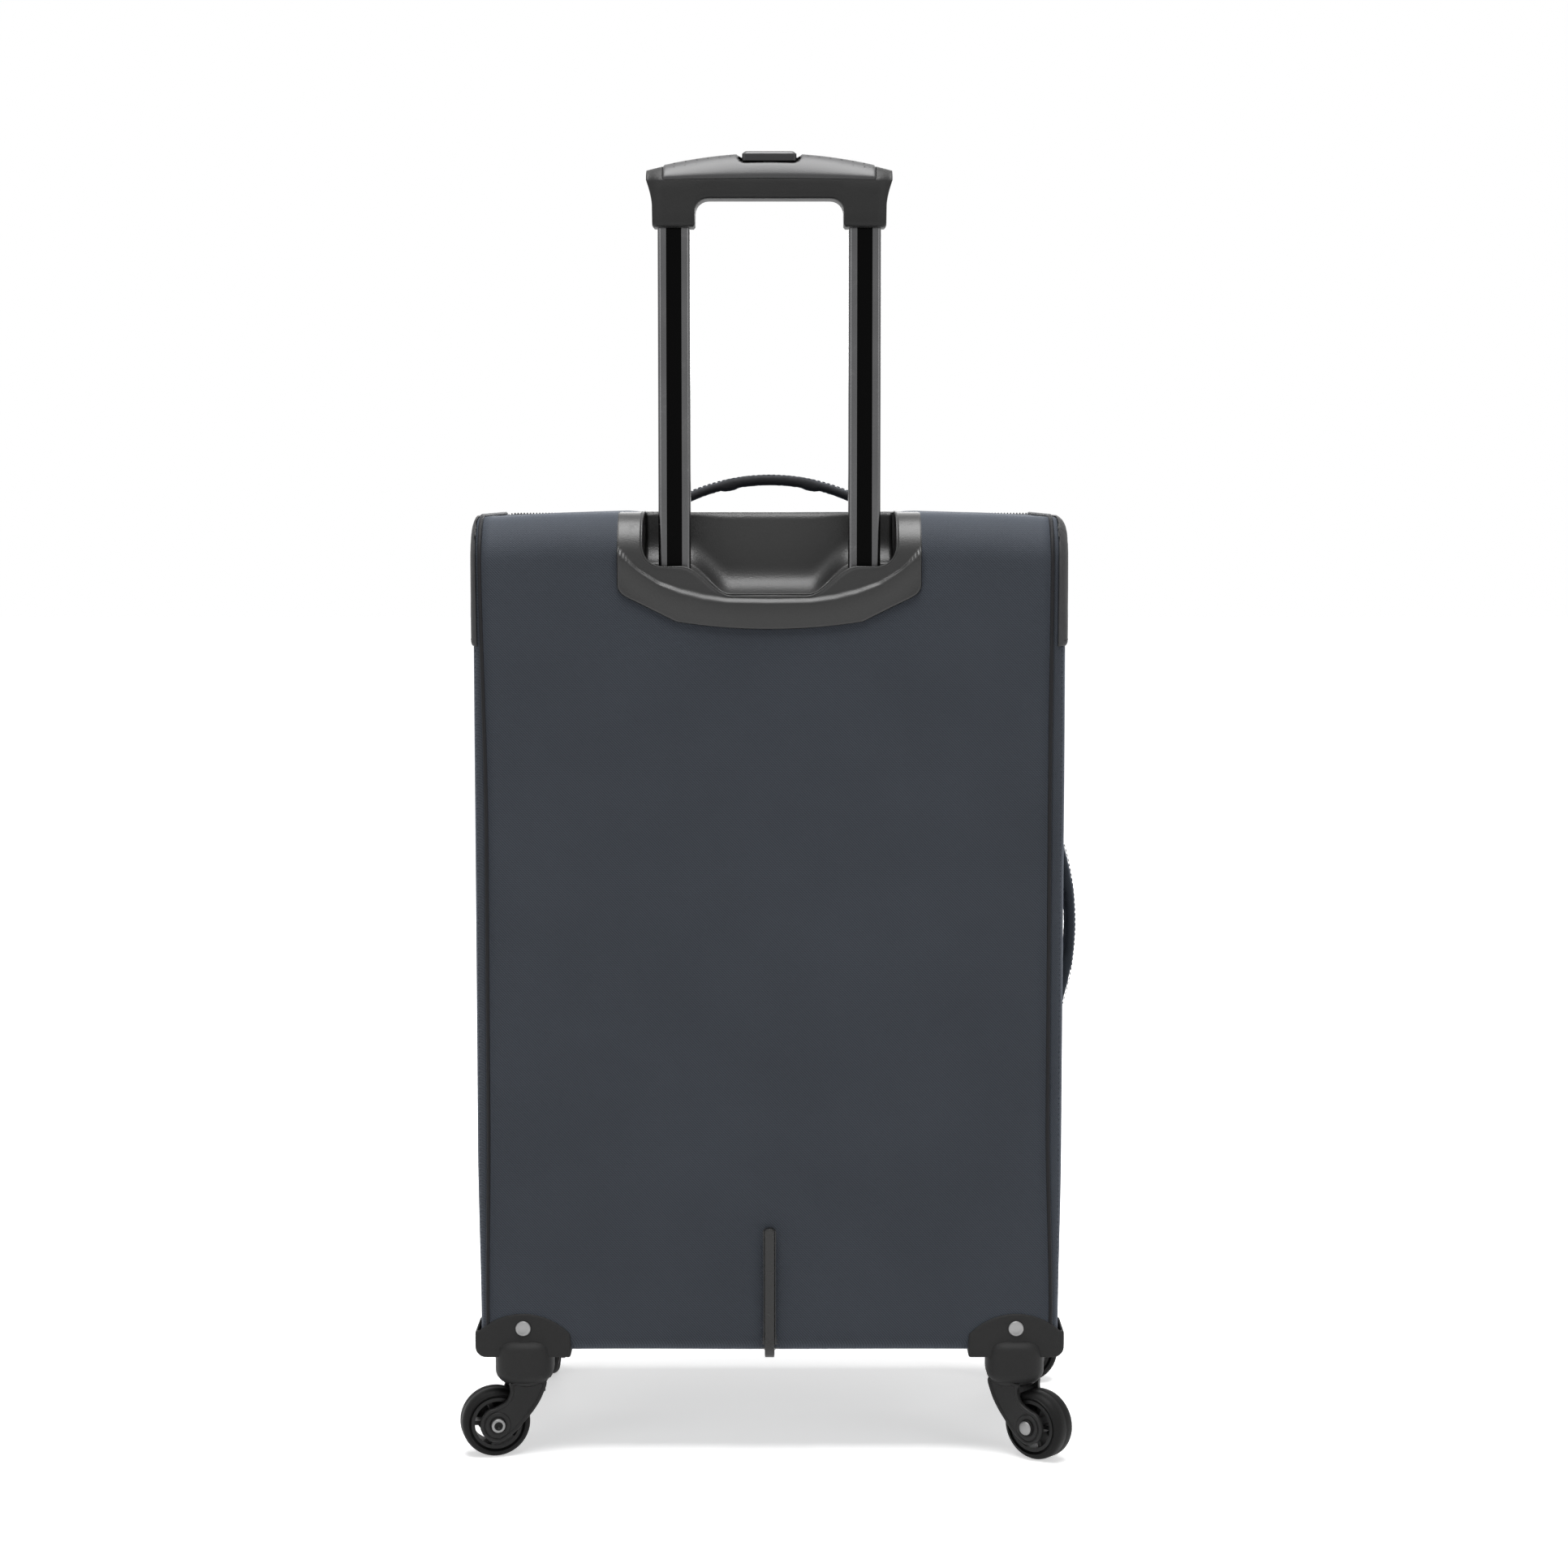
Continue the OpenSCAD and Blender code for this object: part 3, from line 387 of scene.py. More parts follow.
# ---- Side panels ----
# The same cloth over a softer foam, so each side swells a little and rolls over into the
# seam. A second row of stitching runs beside the back seam.
roll = 0.0105
side_front = back_y + case_depth


def side_surface(side, y, z):
    """The point on a side panel over a flat (y, z), with its corners and edges rolled."""
    for cy, cz, dy, dz, r in ((back_y + top_edge_r, top_z - top_edge_r, -1, 1, top_edge_r),
                              (back_y + base_edge_r, under_z + base_edge_r, -1, -1, base_edge_r)):
        u, v = (y - cy) * dy, (z - cz) * dz
        if u > 0 and v > 0:
            reach = max(u, v)
            length = math.hypot(u, v)
            y, z = cy + dy * reach * u / length, cz + dz * reach * v / length
            edge = r - reach
            break
    else:
        edge = min(y - back_y, top_z - z, z - under_z)
    t = min(1.0, max(0.0, edge) / roll)
    seam = abs(seam_at(side, z)) + 0.0006
    swell = 0.0009 * ease(edge, 0.0, 0.05) + 0.0004 * noise.noise(Vector((side * 2, y * 8, z * 7)))
    narrow = 0.0016 * ease(z, 0.22, 0.09)
    x = seam + (half_case - narrow + swell - seam) * math.sqrt(1 - (1 - t) ** 2)
    return side * x, y, z


def edge_rows(low, high, size, rolled_low, rolled_high):
    """Spacing across a panel, with closer rows where its edges roll over."""
    fine = [0.0, 0.0004, 0.0012, 0.0025, 0.0045, 0.007, 0.0105]
    start = [low + d for d in fine] if rolled_low else [low]
    end = [high - d for d in reversed(fine)] if rolled_high else [high]
    return start + steps(start[-1], end[0], size)[1:] + end


ys = edge_rows(back_y, side_front, 0.006, True, False)
zs = edge_rows(under_z, top_z, 0.007, True, True)
for side, node in ((-1, "side_skin_left"), (1, "side_skin_right")):
    points = [side_surface(side, y, z) for z in zs for y in ys]
    panel = mesh_piece("side_panel_" + node.split("_")[-1], points,
                       grid_faces(len(zs), len(ys)), body_cloth)
    if side < 0:
        panel.data.flip_normals()
    thicken(panel, fabric_t)
    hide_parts(node)
    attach(panel, "case")

# ---- Piping ----
# A black cord in each side seam, from the front of the top, down the back and along the
# underside to the sill. It is what carries the shape of the soft edges.
piping_r = 0.0015


def ring_faces(rings, sides, closed=False):
    """Quads between rings of points numbered ring by ring, and a cap at each open end."""
    laps = rings if closed else rings - 1
    faces = [(i * sides + j, i * sides + (j + 1) % sides,
              (i + 1) % rings * sides + (j + 1) % sides, (i + 1) % rings * sides + j)
             for i in range(laps) for j in range(sides)]
    if not closed:
        faces += [tuple(range(sides)), tuple((rings - 1) * sides + j for j in range(sides))]
    return faces


def sweep(name, path, axis, profile, material, closed=False):
    """A profile of (outward, along axis) offsets swept along a flat path of points."""
    axis = Vector(axis)
    points, count = [], len(path)
    for i, place in enumerate(path):
        before = path[i - 1] if i or closed else place
        after = path[(i + 1) % count] if i + 1 < count or closed else place
        out = (Vector(after) - Vector(before)).normalized().cross(axis)
        points += [Vector(place) + out * a + axis * b for a, b in profile]
    faces = ring_faces(count, len(profile), closed)
    return face_outwards(mesh_piece(name, points, faces, material))


def round_profile(radius, sides=12):
    """Offsets of a round cord."""
    return [(radius * math.cos(math.tau * j / sides), radius * math.sin(math.tau * j / sides))
            for j in range(sides)]


def settle(piece, body, slot, *nodes):
    """Rides a finished piece on its body, hiding the nodes that it stands for. Its slot is not used."""
    if nodes:
        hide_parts(*nodes)
    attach(piece, body)
    return piece


def join(name, pieces):
    """Joins like pieces into one object."""
    bpy.ops.object.select_all(action="DESELECT")
    for piece in pieces:
        piece.select_set(True)
    bpy.context.view_layer.objects.active = pieces[0]
    bpy.ops.object.join()
    pieces[0].name = name
    return pieces[0]


cord_cloth = woven("piping_cloth", (0.012, 0.012, 0.013), (0.006, 0.006, 0.007), rough=0.5,
                   sheen=0.05, rib_scale=700.0)
cords = []
for side in (-1, 1):
    path = [(side * (abs(seam_at(side, z))), y + ny * 0.0002, z + nz * 0.0002)
            for y, z, ny, nz in strip_path()]
    cords.append(sweep("seam_cord", path, (1, 0, 0), round_profile(piping_r), cord_cloth))
settle(join("seam_piping", cords), "case", "piping_cord", "piping")

# ---- Seam stitching ----
# A row of navy thread beside each back seam, where the side panel is topstitched down.
thread_cloth = woven("navy_thread", (0.034, 0.038, 0.048), (0.020, 0.023, 0.030), rough=0.6,
                     rib_scale=2400.0)


def thread_row(name, path, material, pitch=0.0036, length=0.0027, wide=0.0007):
    """Single stitches along a path of (point, outward normal)."""
    points, faces, run = [], [], 0.0
    for (p, n), (q, m) in zip(path, path[1:]):
        p, q = Vector(p), Vector(q)
        gap = (q - p).length
        while run < gap and gap > 1e-7:
            t = (q - p).normalized()
            out = Vector(n).lerp(Vector(m), run / gap).normalized()
            across = t.cross(out).normalized()
            middle = p + t * run
            first = len(points)
            for along, side, up in ((-0.5, 0, -0.3), (0.5, 0, -0.3), (0, -0.5, 0), (0, 0.5, 0),
                                    (-0.28, 0, 0.45), (0.28, 0, 0.45), (0, 0, -0.6)):
                points.append(middle + t * length * along + across * wide * side
                              + out * wide * up)
            for face in ((0, 2, 4), (4, 2, 5), (5, 2, 1), (0, 4, 3), (4, 5, 3), (5, 1, 3),
                         (0, 6, 2), (6, 1, 2), (0, 3, 6), (6, 3, 1)):
                faces.append(tuple(first + k for k in face))
            run += pitch
        run -= gap
    return face_outwards(mesh_piece(name, points, faces, material))


def panel_normal(side, y, z):
    """The outward direction of a side panel over a flat (y, z)."""
    here = Vector(side_surface(side, y, z))
    along_y = Vector(side_surface(side, y + 0.0004, z)) - here
    along_z = Vector(side_surface(side, y, z + 0.0004)) - here
    return along_y.cross(along_z).normalized() * side


rows = []
for side in (-1, 1):
    path = [(side_surface(side, back_y + 0.0035, z), panel_normal(side, back_y + 0.0035, z))
            for z in steps(under_z + 0.040, top_z - 0.032, 0.004)]
    rows.append(thread_row("seam_thread", path, thread_cloth))
settle(join("seam_stitches", rows), "case", "body_fabric")

# ---- Top corner trims ----
# Four quarter-round patches of grained coated fabric, glued and sewn over the top corners of
# the side panels, with a stitched edge.
trim_r = 0.088
grain, g_in, g_out = shader_group(
    "moulded_grain",
    [("Vector", VECTOR, None), ("Grain Scale", FLOAT, 900.0), ("Scuff Scale", FLOAT, 40.0)],
    [("Height", FLOAT), ("Scuffs", FLOAT), ("Mottle", FLOAT)],
)
pebbles = add_node(grain, "ShaderNodeTexVoronoi", feature="SMOOTH_F1")
specks = add_node(grain, "ShaderNodeTexNoise", Detail=3.0, Roughness=0.65)
marks = add_node(grain, "ShaderNodeTexNoise", Detail=6.0, Roughness=0.75, Distortion=1.2)
mottle = add_node(grain, "ShaderNodeTexNoise", Scale=22.0, Detail=2.0)
for texture in (pebbles, specks, marks, mottle):
    grain.links.new(g_in.outputs["Vector"], texture.inputs["Vector"])
grain.links.new(g_in.outputs["Grain Scale"], pebbles.inputs["Scale"])
grain.links.new(g_in.outputs["Grain Scale"], specks.inputs["Scale"])
grain.links.new(g_in.outputs["Scuff Scale"], marks.inputs["Scale"])
relief = add_node(grain, "ShaderNodeMath", operation="ADD")
grain.links.new(pebbles.outputs["Distance"], relief.inputs[0])
grain.links.new(specks.outputs["Fac"], relief.inputs[1])
grain.links.new(relief.outputs[0], g_out.inputs["Height"])
worn = add_node(grain, "ShaderNodeMapRange", From_Min=0.56, From_Max=0.80)
grain.links.new(marks.outputs["Fac"], worn.inputs["Value"])
grain.links.new(worn.outputs[0], g_out.inputs["Scuffs"])
grain.links.new(mottle.outputs["Fac"], g_out.inputs["Mottle"])


def moulding(name, colour, rough=0.5, grain_scale=900.0, grain_depth=0.00006, scuffs=0.25,
             metal=0.0, shine=0.28, mask=None, mask_colour=None):
    """Moulded plastic, rubber, coated cloth or metal: grained, a little mottled and scuffed."""
    stuff = bpy.data.materials.new(name)
    stuff.use_nodes = True
    tree = stuff.node_tree
    shader = tree.nodes["Principled BSDF"]
    shader.inputs["Metallic"].default_value = metal
    shader.inputs["Specular IOR Level"].default_value = 0.5 if metal else shine
    place = add_node(tree, "ShaderNodeTexCoord")
    surface = add_node(tree, "ShaderNodeGroup", node_tree=grain)
    surface.inputs["Grain Scale"].default_value = grain_scale
    tree.links.new(place.outputs["Object"], surface.inputs["Vector"])
    share = add_node(tree, "ShaderNodeMath", operation="MULTIPLY")
    share.inputs[1].default_value = scuffs
    tree.links.new(surface.outputs["Scuffs"], share.inputs[0])
    tint = add_node(tree, "ShaderNodeMix", data_type="RGBA")
    tint.inputs[6].default_value = (*colour, 1)
    tint.inputs[7].default_value = (*[min(1.0, c * 1.7 + 0.012) for c in colour], 1)
    tree.links.new(share.outputs[0], tint.inputs[0])
    uneven = add_node(tree, "ShaderNodeMapRange", From_Min=0.3, From_Max=0.7, To_Min=0.92,
                      To_Max=1.08)
    tree.links.new(surface.outputs["Mottle"], uneven.inputs["Value"])
    tone = add_node(tree, "ShaderNodeHueSaturation")
    tree.links.new(tint.outputs[2], tone.inputs["Color"])
    tree.links.new(uneven.outputs[0], tone.inputs["Value"])
    gloss = add_node(tree, "ShaderNodeMapRange", To_Min=rough, To_Max=min(1.0, rough + 0.16))
    tree.links.new(surface.outputs["Scuffs"], gloss.inputs["Value"])
    tree.links.new(gloss.outputs[0], shader.inputs["Roughness"])
    bump = add_node(tree, "ShaderNodeBump", Strength=0.5, Distance=grain_depth)
    tree.links.new(surface.outputs["Height"], bump.inputs["Height"])
    tree.links.new(bump.outputs[0], shader.inputs["Normal"])
    if mask:
        paint = add_node(tree, "ShaderNodeMix", data_type="RGBA")
        paint.inputs[7].default_value = (*mask_colour, 1)
        tree.links.new(mask(tree, place), paint.inputs[0])
        tree.links.new(tone.outputs[0], paint.inputs[6])
        tree.links.new(paint.outputs[2], shader.inputs["Base Color"])
    else:
        tree.links.new(tone.outputs[0], shader.inputs["Base Color"])
    return stuff


trim_skin = moulding("coated_trim", (0.022, 0.022, 0.023), rough=0.55, grain_scale=620.0,
                     grain_depth=0.00022, scuffs=0.5)
patches, rows = [], []
for side in (-1, 1):
    for corner_y, turn in ((back_y, 1), (side_front, -1)):
        rings = [0.0, 0.004, 0.012] + [0.012 + 0.0073 * i for i in range(1, 11)]
        rings += [trim_r - 0.0016, trim_r - 0.0004, trim_r]
        rise = [0.0013] * (len(rings) - 2) + [0.0009, 0.0001]
        points = []
        for radius, lift in zip(rings, rise):
            for k in range(25):
                a = math.radians(90 * k / 24)
                y = corner_y + turn * max(0.0008, radius * math.cos(a))
                z = top_z - max(0.0008, radius * math.sin(a))
                points.append(Vector(side_surface(side, y, z))
                              + panel_normal(side, y, z) * lift)
        patch = mesh_piece("trim", points, grid_faces(len(rings), 25), trim_skin)
        thicken(patch, 0.0011, 0)
        patches.append(face_outwards(patch))
        path = []
        for k in range(1, 30):
            a = math.radians(3 * k)
            y = corner_y + turn * (trim_r - 0.0035) * math.cos(a)
            z = top_z - (trim_r - 0.0035) * math.sin(a)
            n = panel_normal(side, y, z)
            path.append((Vector(side_surface(side, y, z)) + n * 0.0018, n))
        rows.append(thread_row("trim_thread", path, cord_cloth))
settle(join("top_corner_trims", patches), "case", "trim_leather", "corner_trims")
settle(join("trim_stitches", rows), "case", "trim_leather")

# ---- Trolley cup ----
# A black moulding let into the top of the back. A raised band sweeps under its mouth, the
# lip has a fine bead, and behind the poles the floor rises into the far wall in a soft fillet.
cup_skin = moulding("cup_moulding", (0.0065, 0.0065, 0.0065), rough=0.40, shine=0.42, grain_scale=1300.0,
                    grain_depth=0.00008, scuffs=0.12)
cup_wall_skin = moulding("cup_wall", (0.0095, 0.0095, 0.0095), rough=0.40, shine=0.4, grain_scale=1000.0,
                         grain_depth=0.00018, scuffs=0.1)
roll_z = top_z - top_edge_r
roll_length = top_edge_r * math.pi / 2
mouth_half = 0.087
ledge_z = under_z + 0.544
dip_z = under_z + 0.524
surround_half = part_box("trolley_cup")[1].x
surround_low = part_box("trolley_cup")[0].z


def over_edge(x, s, stand):
    """The point at a height s measured up the back and over its rolled top, standing off."""
    if s <= roll_z:
        return (x, back_y - stand, s)
    a = (s - roll_z) / top_edge_r
    if s <= roll_z + roll_length:
        r = top_edge_r + stand
        return (x, back_y + top_edge_r - r * math.cos(a), roll_z + r * math.sin(a))
    return (x, back_y + top_edge_r + s - roll_z - roll_length, top_z + stand)


def resample(line, count):
    """A polyline's points, spaced evenly along its length."""
    lengths = [math.dist(a, b) for a, b in zip(line, line[1:])]
    total, result = sum(lengths), []
    for i in range(count + 1):
        run, k = total * i / count, 0
        while k < len(lengths) - 1 and run > lengths[k]:
            run -= lengths[k]
            k += 1
        t = run / lengths[k]
        result.append(tuple(a + (b - a) * t for a, b in zip(line[k], line[k + 1])))
    return result


def crease(x):
    """Height of the raised band's upper edge."""
    line = ((0.0, 0.5945), (0.028, 0.5950), (0.045, 0.5972), (0.060, 0.6012), (0.075, 0.6078),
            (0.090, 0.6182), (0.104, 0.6310), (0.120, 0.6450))
    for (a, low), (b, high) in zip(line, line[1:]):
        if abs(x) <= b:
            return low + (high - low) * (abs(x) - a) / (b - a)
    return high


def cup_relief(x, s):
    """How far the surround stands off the back panel."""
    above = s - crease(x)
    soft = 0.0009 + 0.0044 * ease(abs(x), 0.092, 0.050)
    band = 1 - ease(above, -0.0002, soft)
    return 0.00275 + 0.0027 * band - 0.0021 * ease(-above, 0.001, 0.024)


arm_top = roll_z + roll_length + 0.034
corner = [(-mouth_half + 0.014 + 0.014 * math.cos(a), ledge_z + 0.014 + 0.014 * math.sin(a))
          for a in (math.radians(180 + 9 * k) for k in range(11))]
slope = [(-0.060 + 0.034 * t, ledge_z - 0.020 * ease(t, 0, 1)) for t in (k / 12 for k in range(13))]
arc_r = (0.0635 ** 2 + 0.005 ** 2) / 0.010
belly = [(x, surround_low + arc_r - math.sqrt(arc_r ** 2 - x * x))
         for x in (-0.0635 + 0.0635 * k / 12 for k in range(13))]
low_corner = [(-surround_half, surround_low + 0.032), (-surround_half, surround_low + 0.0285),
              (-surround_half + 0.002, surround_low + 0.0245),
              (-surround_half + 0.0065, surround_low + 0.0215), (-0.0850, surround_low + 0.0157)]
pairs = (
    ([(-mouth_half, arm_top), corner[0]], [(-surround_half, arm_top), (-surround_half, 0.634)], 26),
    (corner, [(-surround_half, 0.634), low_corner[0]], 12),
    ([corner[-1], slope[0]], low_corner, 9),
    (slope, [low_corner[-1], belly[0], belly[3]], 22),
    ([slope[-1], (0.0, dip_z)], belly[3:], 18),
)
inner, outer = [], []
for inner_part, outer_part, count in pairs:
    inner += resample(inner_part, count)[:-1]
    outer += resample(outer_part, count)[:-1]
inner.append((0.0, dip_z))
outer.append(belly[-1])
inner += [(-x, s) for x, s in reversed(inner[:-1])]
outer += [(-x, s) for x, s in reversed(outer[:-1])]
bead = ((0.0002, -0.0064), (0.0006, 0.0012), (0.0007, 0.0030), (0.0004, 0.0036), (-0.0001, 0.0037),
        (-0.0006, 0.0034), (-0.0010, 0.0029))
points = []
for (x0, s0), (x1, s1) in zip(inner, outer):
    span = math.dist((x0, s0), (x1, s1))
    dx, ds = (x1 - x0) / span, (s1 - s0) / span
    for into, stand in bead:
        points.append(over_edge(x0 - dx * into, s0 - ds * into, stand))
    for k in range(1, 31):
        run = 0.0010 + (span - 0.0014) * k / 30
        x, s = x0 + dx * run, s0 + ds * run
        points.append(over_edge(x, s, cup_relief(x, s)))
    for past, share in ((0.0000, 0.75), (0.0003, 0.45), (0.0004, -0.10)):
        stand = cup_relief(x1, s1) * share
        points.append(over_edge(x1 + dx * past, s1 + ds * past, stand))
bezel = mesh_piece("cup_surround", points, grid_faces(len(inner), len(bead) + 33), cup_skin)
thicken(bezel, 0.00015)
settle(face_outwards(bezel), "case", "cup_plastic")

fillet_r = 0.020
far_y = back_y + 0.052 - 0.0003
points, columns = [], [round(-mouth_half + 0.0006 + 0.0026 * i, 6) for i in range(67)]
for x in columns:
    floor_z = dip_z + 0.0004 + 0.020 * ease(abs(x), 0.027, 0.058)
    near_y = back_y + 0.0330 + 0.0046 * ease(abs(x), 0.030, 0.045)
    points.append((x, near_y, dip_z + 0.0002))
    for k in range(17):
        a = math.radians(90 * k / 16)
        y = far_y - fillet_r + fillet_r * math.sin(a)
        points.append((x, max(y, near_y + 0.0001 * k), floor_z + fillet_r * (1 - math.cos(a))))
    for k in range(1, 7):
        low = floor_z + fillet_r
        points.append((x, far_y, low + (top_z + 0.0022 - low) * k / 6))
liner = mesh_piece("cup_far_wall", points, grid_faces(len(columns), 24), cup_wall_skin)
thicken(liner, 0.0002)
settle(face_outwards(liner), "case", "cup_plastic")


def split_edges(piece, angle):
    """Keeps the edges that turn by more than an angle in degrees sharp."""
    split = piece.modifiers.new("edges", "EDGE_SPLIT")
    split.split_angle = math.radians(angle)


def finish_node(node, material):
    """Gives a CAD piece its material and smooth shading between its sharp edges."""
    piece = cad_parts[node]
    piece.data.materials.clear()
    piece.data.materials.append(material)
    piece.data.polygons.foreach_set("use_smooth", [True] * len(piece.data.polygons))
    weld = piece.modifiers.new("weld", "WELD")
    weld.merge_threshold = 0.000002
    split_edges(piece, 35)


def moulded(name, nodes, material, voxel=0.0010, rounds=3, shape=None):
    """A moulding cast over CAD pieces, with its edges softened as a real tool leaves them."""
    shape_mesh = bmesh.new()
    for node in nodes:
        shape_mesh.from_mesh(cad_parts[node].data)
    bmesh.ops.remove_doubles(shape_mesh, verts=shape_mesh.verts, dist=0.000002)
    mesh = bpy.data.meshes.new(name)
    shape_mesh.to_mesh(mesh)
    shape_mesh.free()
    piece = bpy.data.objects.new(name, mesh)
    bpy.context.scene.collection.objects.link(piece)
    cast = piece.modifiers.new("cast", "REMESH")
    cast.mode = "VOXEL"
    cast.voxel_size = voxel
    apply_modifiers(piece)
    if shape:
        for point in piece.data.vertices:
            point.co = shape(point.co)
    ease_edges = piece.modifiers.new("edges", "SMOOTH")
    ease_edges.factor = 0.5
    ease_edges.iterations = rounds
    apply_modifiers(piece)
    piece.data.polygons.foreach_set("use_smooth", [True] * len(piece.data.polygons))
    piece.data.materials.clear()
    piece.data.materials.append(material)
    return piece


finish_node("trolley_cup", cup_wall_skin)

# ---- Trolley poles ----
# Two telescopic stages of dark anodised aluminium. The upper tubes have a groove down the front and back,
# coloured near black on its walls and floor, and the stages run in plastic collars and shoes.
pole_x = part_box("inner_tubes")[1].x - 0.011
groove_half = 0.0052


def in_groove(tree, place):
    """1 on the walls and the floor of a pole's groove."""
    axes = add_node(tree, "ShaderNodeSeparateXYZ")
    tree.links.new(place.outputs["Object"], axes.inputs[0])
    mirrored = add_node(tree, "ShaderNodeMath", operation="ABSOLUTE")
    tree.links.new(axes.outputs["X"], mirrored.inputs[0])
    centred = add_node(tree, "ShaderNodeMath", operation="SUBTRACT")
    centred.inputs[1].default_value = pole_x
    tree.links.new(mirrored.outputs[0], centred.inputs[0])
    distance = add_node(tree, "ShaderNodeMath", operation="ABSOLUTE")
    tree.links.new(centred.outputs[0], distance.inputs[0])
    inside = add_node(tree, "ShaderNodeMath", operation="LESS_THAN")
    inside.inputs[1].default_value = groove_half
    tree.links.new(distance.outputs[0], inside.inputs[0])
    return inside.outputs[0]


pole_metal = moulding("dark_anodised_rails", (0.105, 0.105, 0.107), rough=0.22, metal=1.0,
                      grain_scale=420.0, grain_depth=0.00001, scuffs=0.35, mask=in_groove,
                      mask_colour=(0.004, 0.004, 0.004))
tube_metal = moulding("plain_aluminium", (0.34, 0.34, 0.35), rough=0.34, metal=1.0,
                      grain_scale=500.0, grain_depth=0.00001)
slide_plastic = moulding("slide_plastic", (0.007, 0.007, 0.007), rough=0.5, shine=0.15)
finish_node("inner_tubes", pole_metal)
finish_node("middle_tubes", pole_metal)
finish_node("outer_tubes", tube_metal)
for node in ("middle_collars", "inner_shoes", "tube_foot"):
    finish_node(node, slide_plastic)

# ---- Hand grip ----
# A grained plastic grip with flared ends, closed by a softer pad with two rows of moulded
# dimples on each side of the release button. Its top is domed from a crease above the bar.
grip_low, grip_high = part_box("trolley_grip")
grip_middle = (grip_low.y + grip_high.y) / 2
grip_half_d = (grip_high.y - grip_low.y) / 2
crease_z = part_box("grip_pad")[0].z
arch_half = grip_high.x
arch_sag = 0.011
arch_r = (arch_half ** 2 + arch_sag ** 2) / (2 * arch_sag)
grip_skin = moulding("grip_plastic", (0.0095, 0.0095, 0.0095), rough=0.50, shine=0.2, grain_scale=1000.0,
                     grain_depth=0.00014, scuffs=0.25)
pad_skin = moulding("grip_rubber", (0.026, 0.026, 0.027), rough=0.46, shine=0.4, grain_scale=1300.0,
                    grain_depth=0.00008, scuffs=0.2)
button_skin = moulding("button_plastic", (0.020, 0.020, 0.021), rough=0.30, grain_scale=1500.0,
                       grain_depth=0.00004, scuffs=0.15)
arch_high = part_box("grip_pad")[1].z


def arch_top(x):
    """Height of the grip's arched top."""
    return arch_high - arch_r + math.sqrt(max(0.0, arch_r ** 2 - x * x))


ridge = 0.003
pad_half = 0.0725
leg_in, leg_out = pole_x - 0.0145, pole_x + 0.0145
bar_low = crease_z - 0.012
well_half, well_half_d, well_r = 0.0215, 0.0090, 0.005


def grip_under(x):
    """Height of the grip's underside: the bar, its rounded inner corners and its flared ends."""
    ax = abs(x)
    if ax <= leg_in - 0.009:
        return bar_low
    if ax <= leg_in:
        return bar_low - 0.009 + math.sqrt(0.009 ** 2 - (ax - leg_in + 0.009) ** 2)
    return grip_low.z + 0.0125 + 0.0190 * ((ax - leg_out) / (arch_half - leg_out)) ** 0.6


def grip_surface(x, d):
    """Height of the grip's top over (x, d): a long slope at the back, a short one in front."""
    base = max(crease_z, grip_under(x) + 0.0015 if abs(x) > leg_out else 0)
    half = end_half(x)
    t = (half + d) / (half + ridge) if d <= ridge else (half - d) / (half - ridge)
    t = min(1.0, max(0.0, t))
    return base + (arch_top(x) - base) * math.sin(math.pi / 2 * t ** (0.70 if d <= ridge else 0.42))


def end_half(x):
    """Half the grip's depth, which narrows into its ends."""
    return grip_half_d - 0.0042 * ease(abs(x), arch_half - 0.012, arch_half) ** 1.5


def in_well(x, d):
    """How far a point lies inside the button's well; negative outside."""
    qx, qd = abs(x) - well_half + well_r, abs(d) - well_half_d + well_r
    return well_r - math.hypot(max(qx, 0.0), max(qd, 0.0)) - min(max(qx, qd), 0.0)


depths = [-1, -0.985, -0.95, -0.9, -0.82, -0.74, -0.67, -0.622, -0.602, -0.55, -0.45, -0.33, -0.2,
          -0.05, 0.1, 0.2, 0.35, 0.5, 0.602, 0.622, 0.7, 0.8, 0.88, 0.94, 0.98, 1]
half_stations = [(x, None) for x in (0, 0.004, 0.008, 0.012, 0.016, 0.019, 0.0205, 0.0212, 0.0217,
                                     0.0225, 0.026, 0.031, 0.036)]
half_stations += [(leg_in - 0.009 + 0.009 * math.sin(math.radians(a)), None) for a in range(0, 91, 15)]
half_stations += [(leg_in + 0.0001, 0.0012), (leg_in + 0.0012, 0.0), (pole_x - 0.006, 0.0),
                  (pole_x, 0.0), (pole_x + 0.006, 0.0), (pad_half - 0.0003, 0.0),
                  (pad_half + 0.0002, 0.0), (leg_out - 0.004, 0.0), (leg_out - 0.0012, 0.0),
                  (leg_out - 0.0001, 0.0012)]
half_stations += [(leg_out + 0.0001 + (arch_half - leg_out - 0.0001) * t, None)
                  for t in (0.0, 0.08, 0.2, 0.35, 0.52, 0.7, 0.86, 0.95, 1.0)]
stations = [(-x, low) for x, low in reversed(half_stations[1:])] + half_stations
points = []
for x, leg in stations:
    low = grip_under(x) if leg is None else grip_low.z + leg
    half = end_half(x)
    base = max(crease_z, low + 0.0015)
    turn = min(0.0035, (base - low) * 0.45)
    ring = [(-half + turn * (1 - math.sin(math.radians(a))), low + turn * (1 - math.cos(math.radians(a))))
            for a in (0, 30, 60, 90)]
    ring += [(-half, low + turn + (base - low - turn) * k / 4) for k in (1, 2, 3)]
    under_pad = 0.0009 if abs(x) < pad_half else 0.0
    top = []
    for share in depths:
        d = share * half
        z = grip_surface(x, d) - under_pad * ease(1 - abs(share), 0.0, 0.05)
        if in_well(x, d) > 0:
            z = min(z, arch_high - 0.0125)
        top.append((d, z))
    ring += top + [(-d, z) for d, z in reversed(ring)]
    points += [(x, grip_middle + d, z) for d, z in ring]
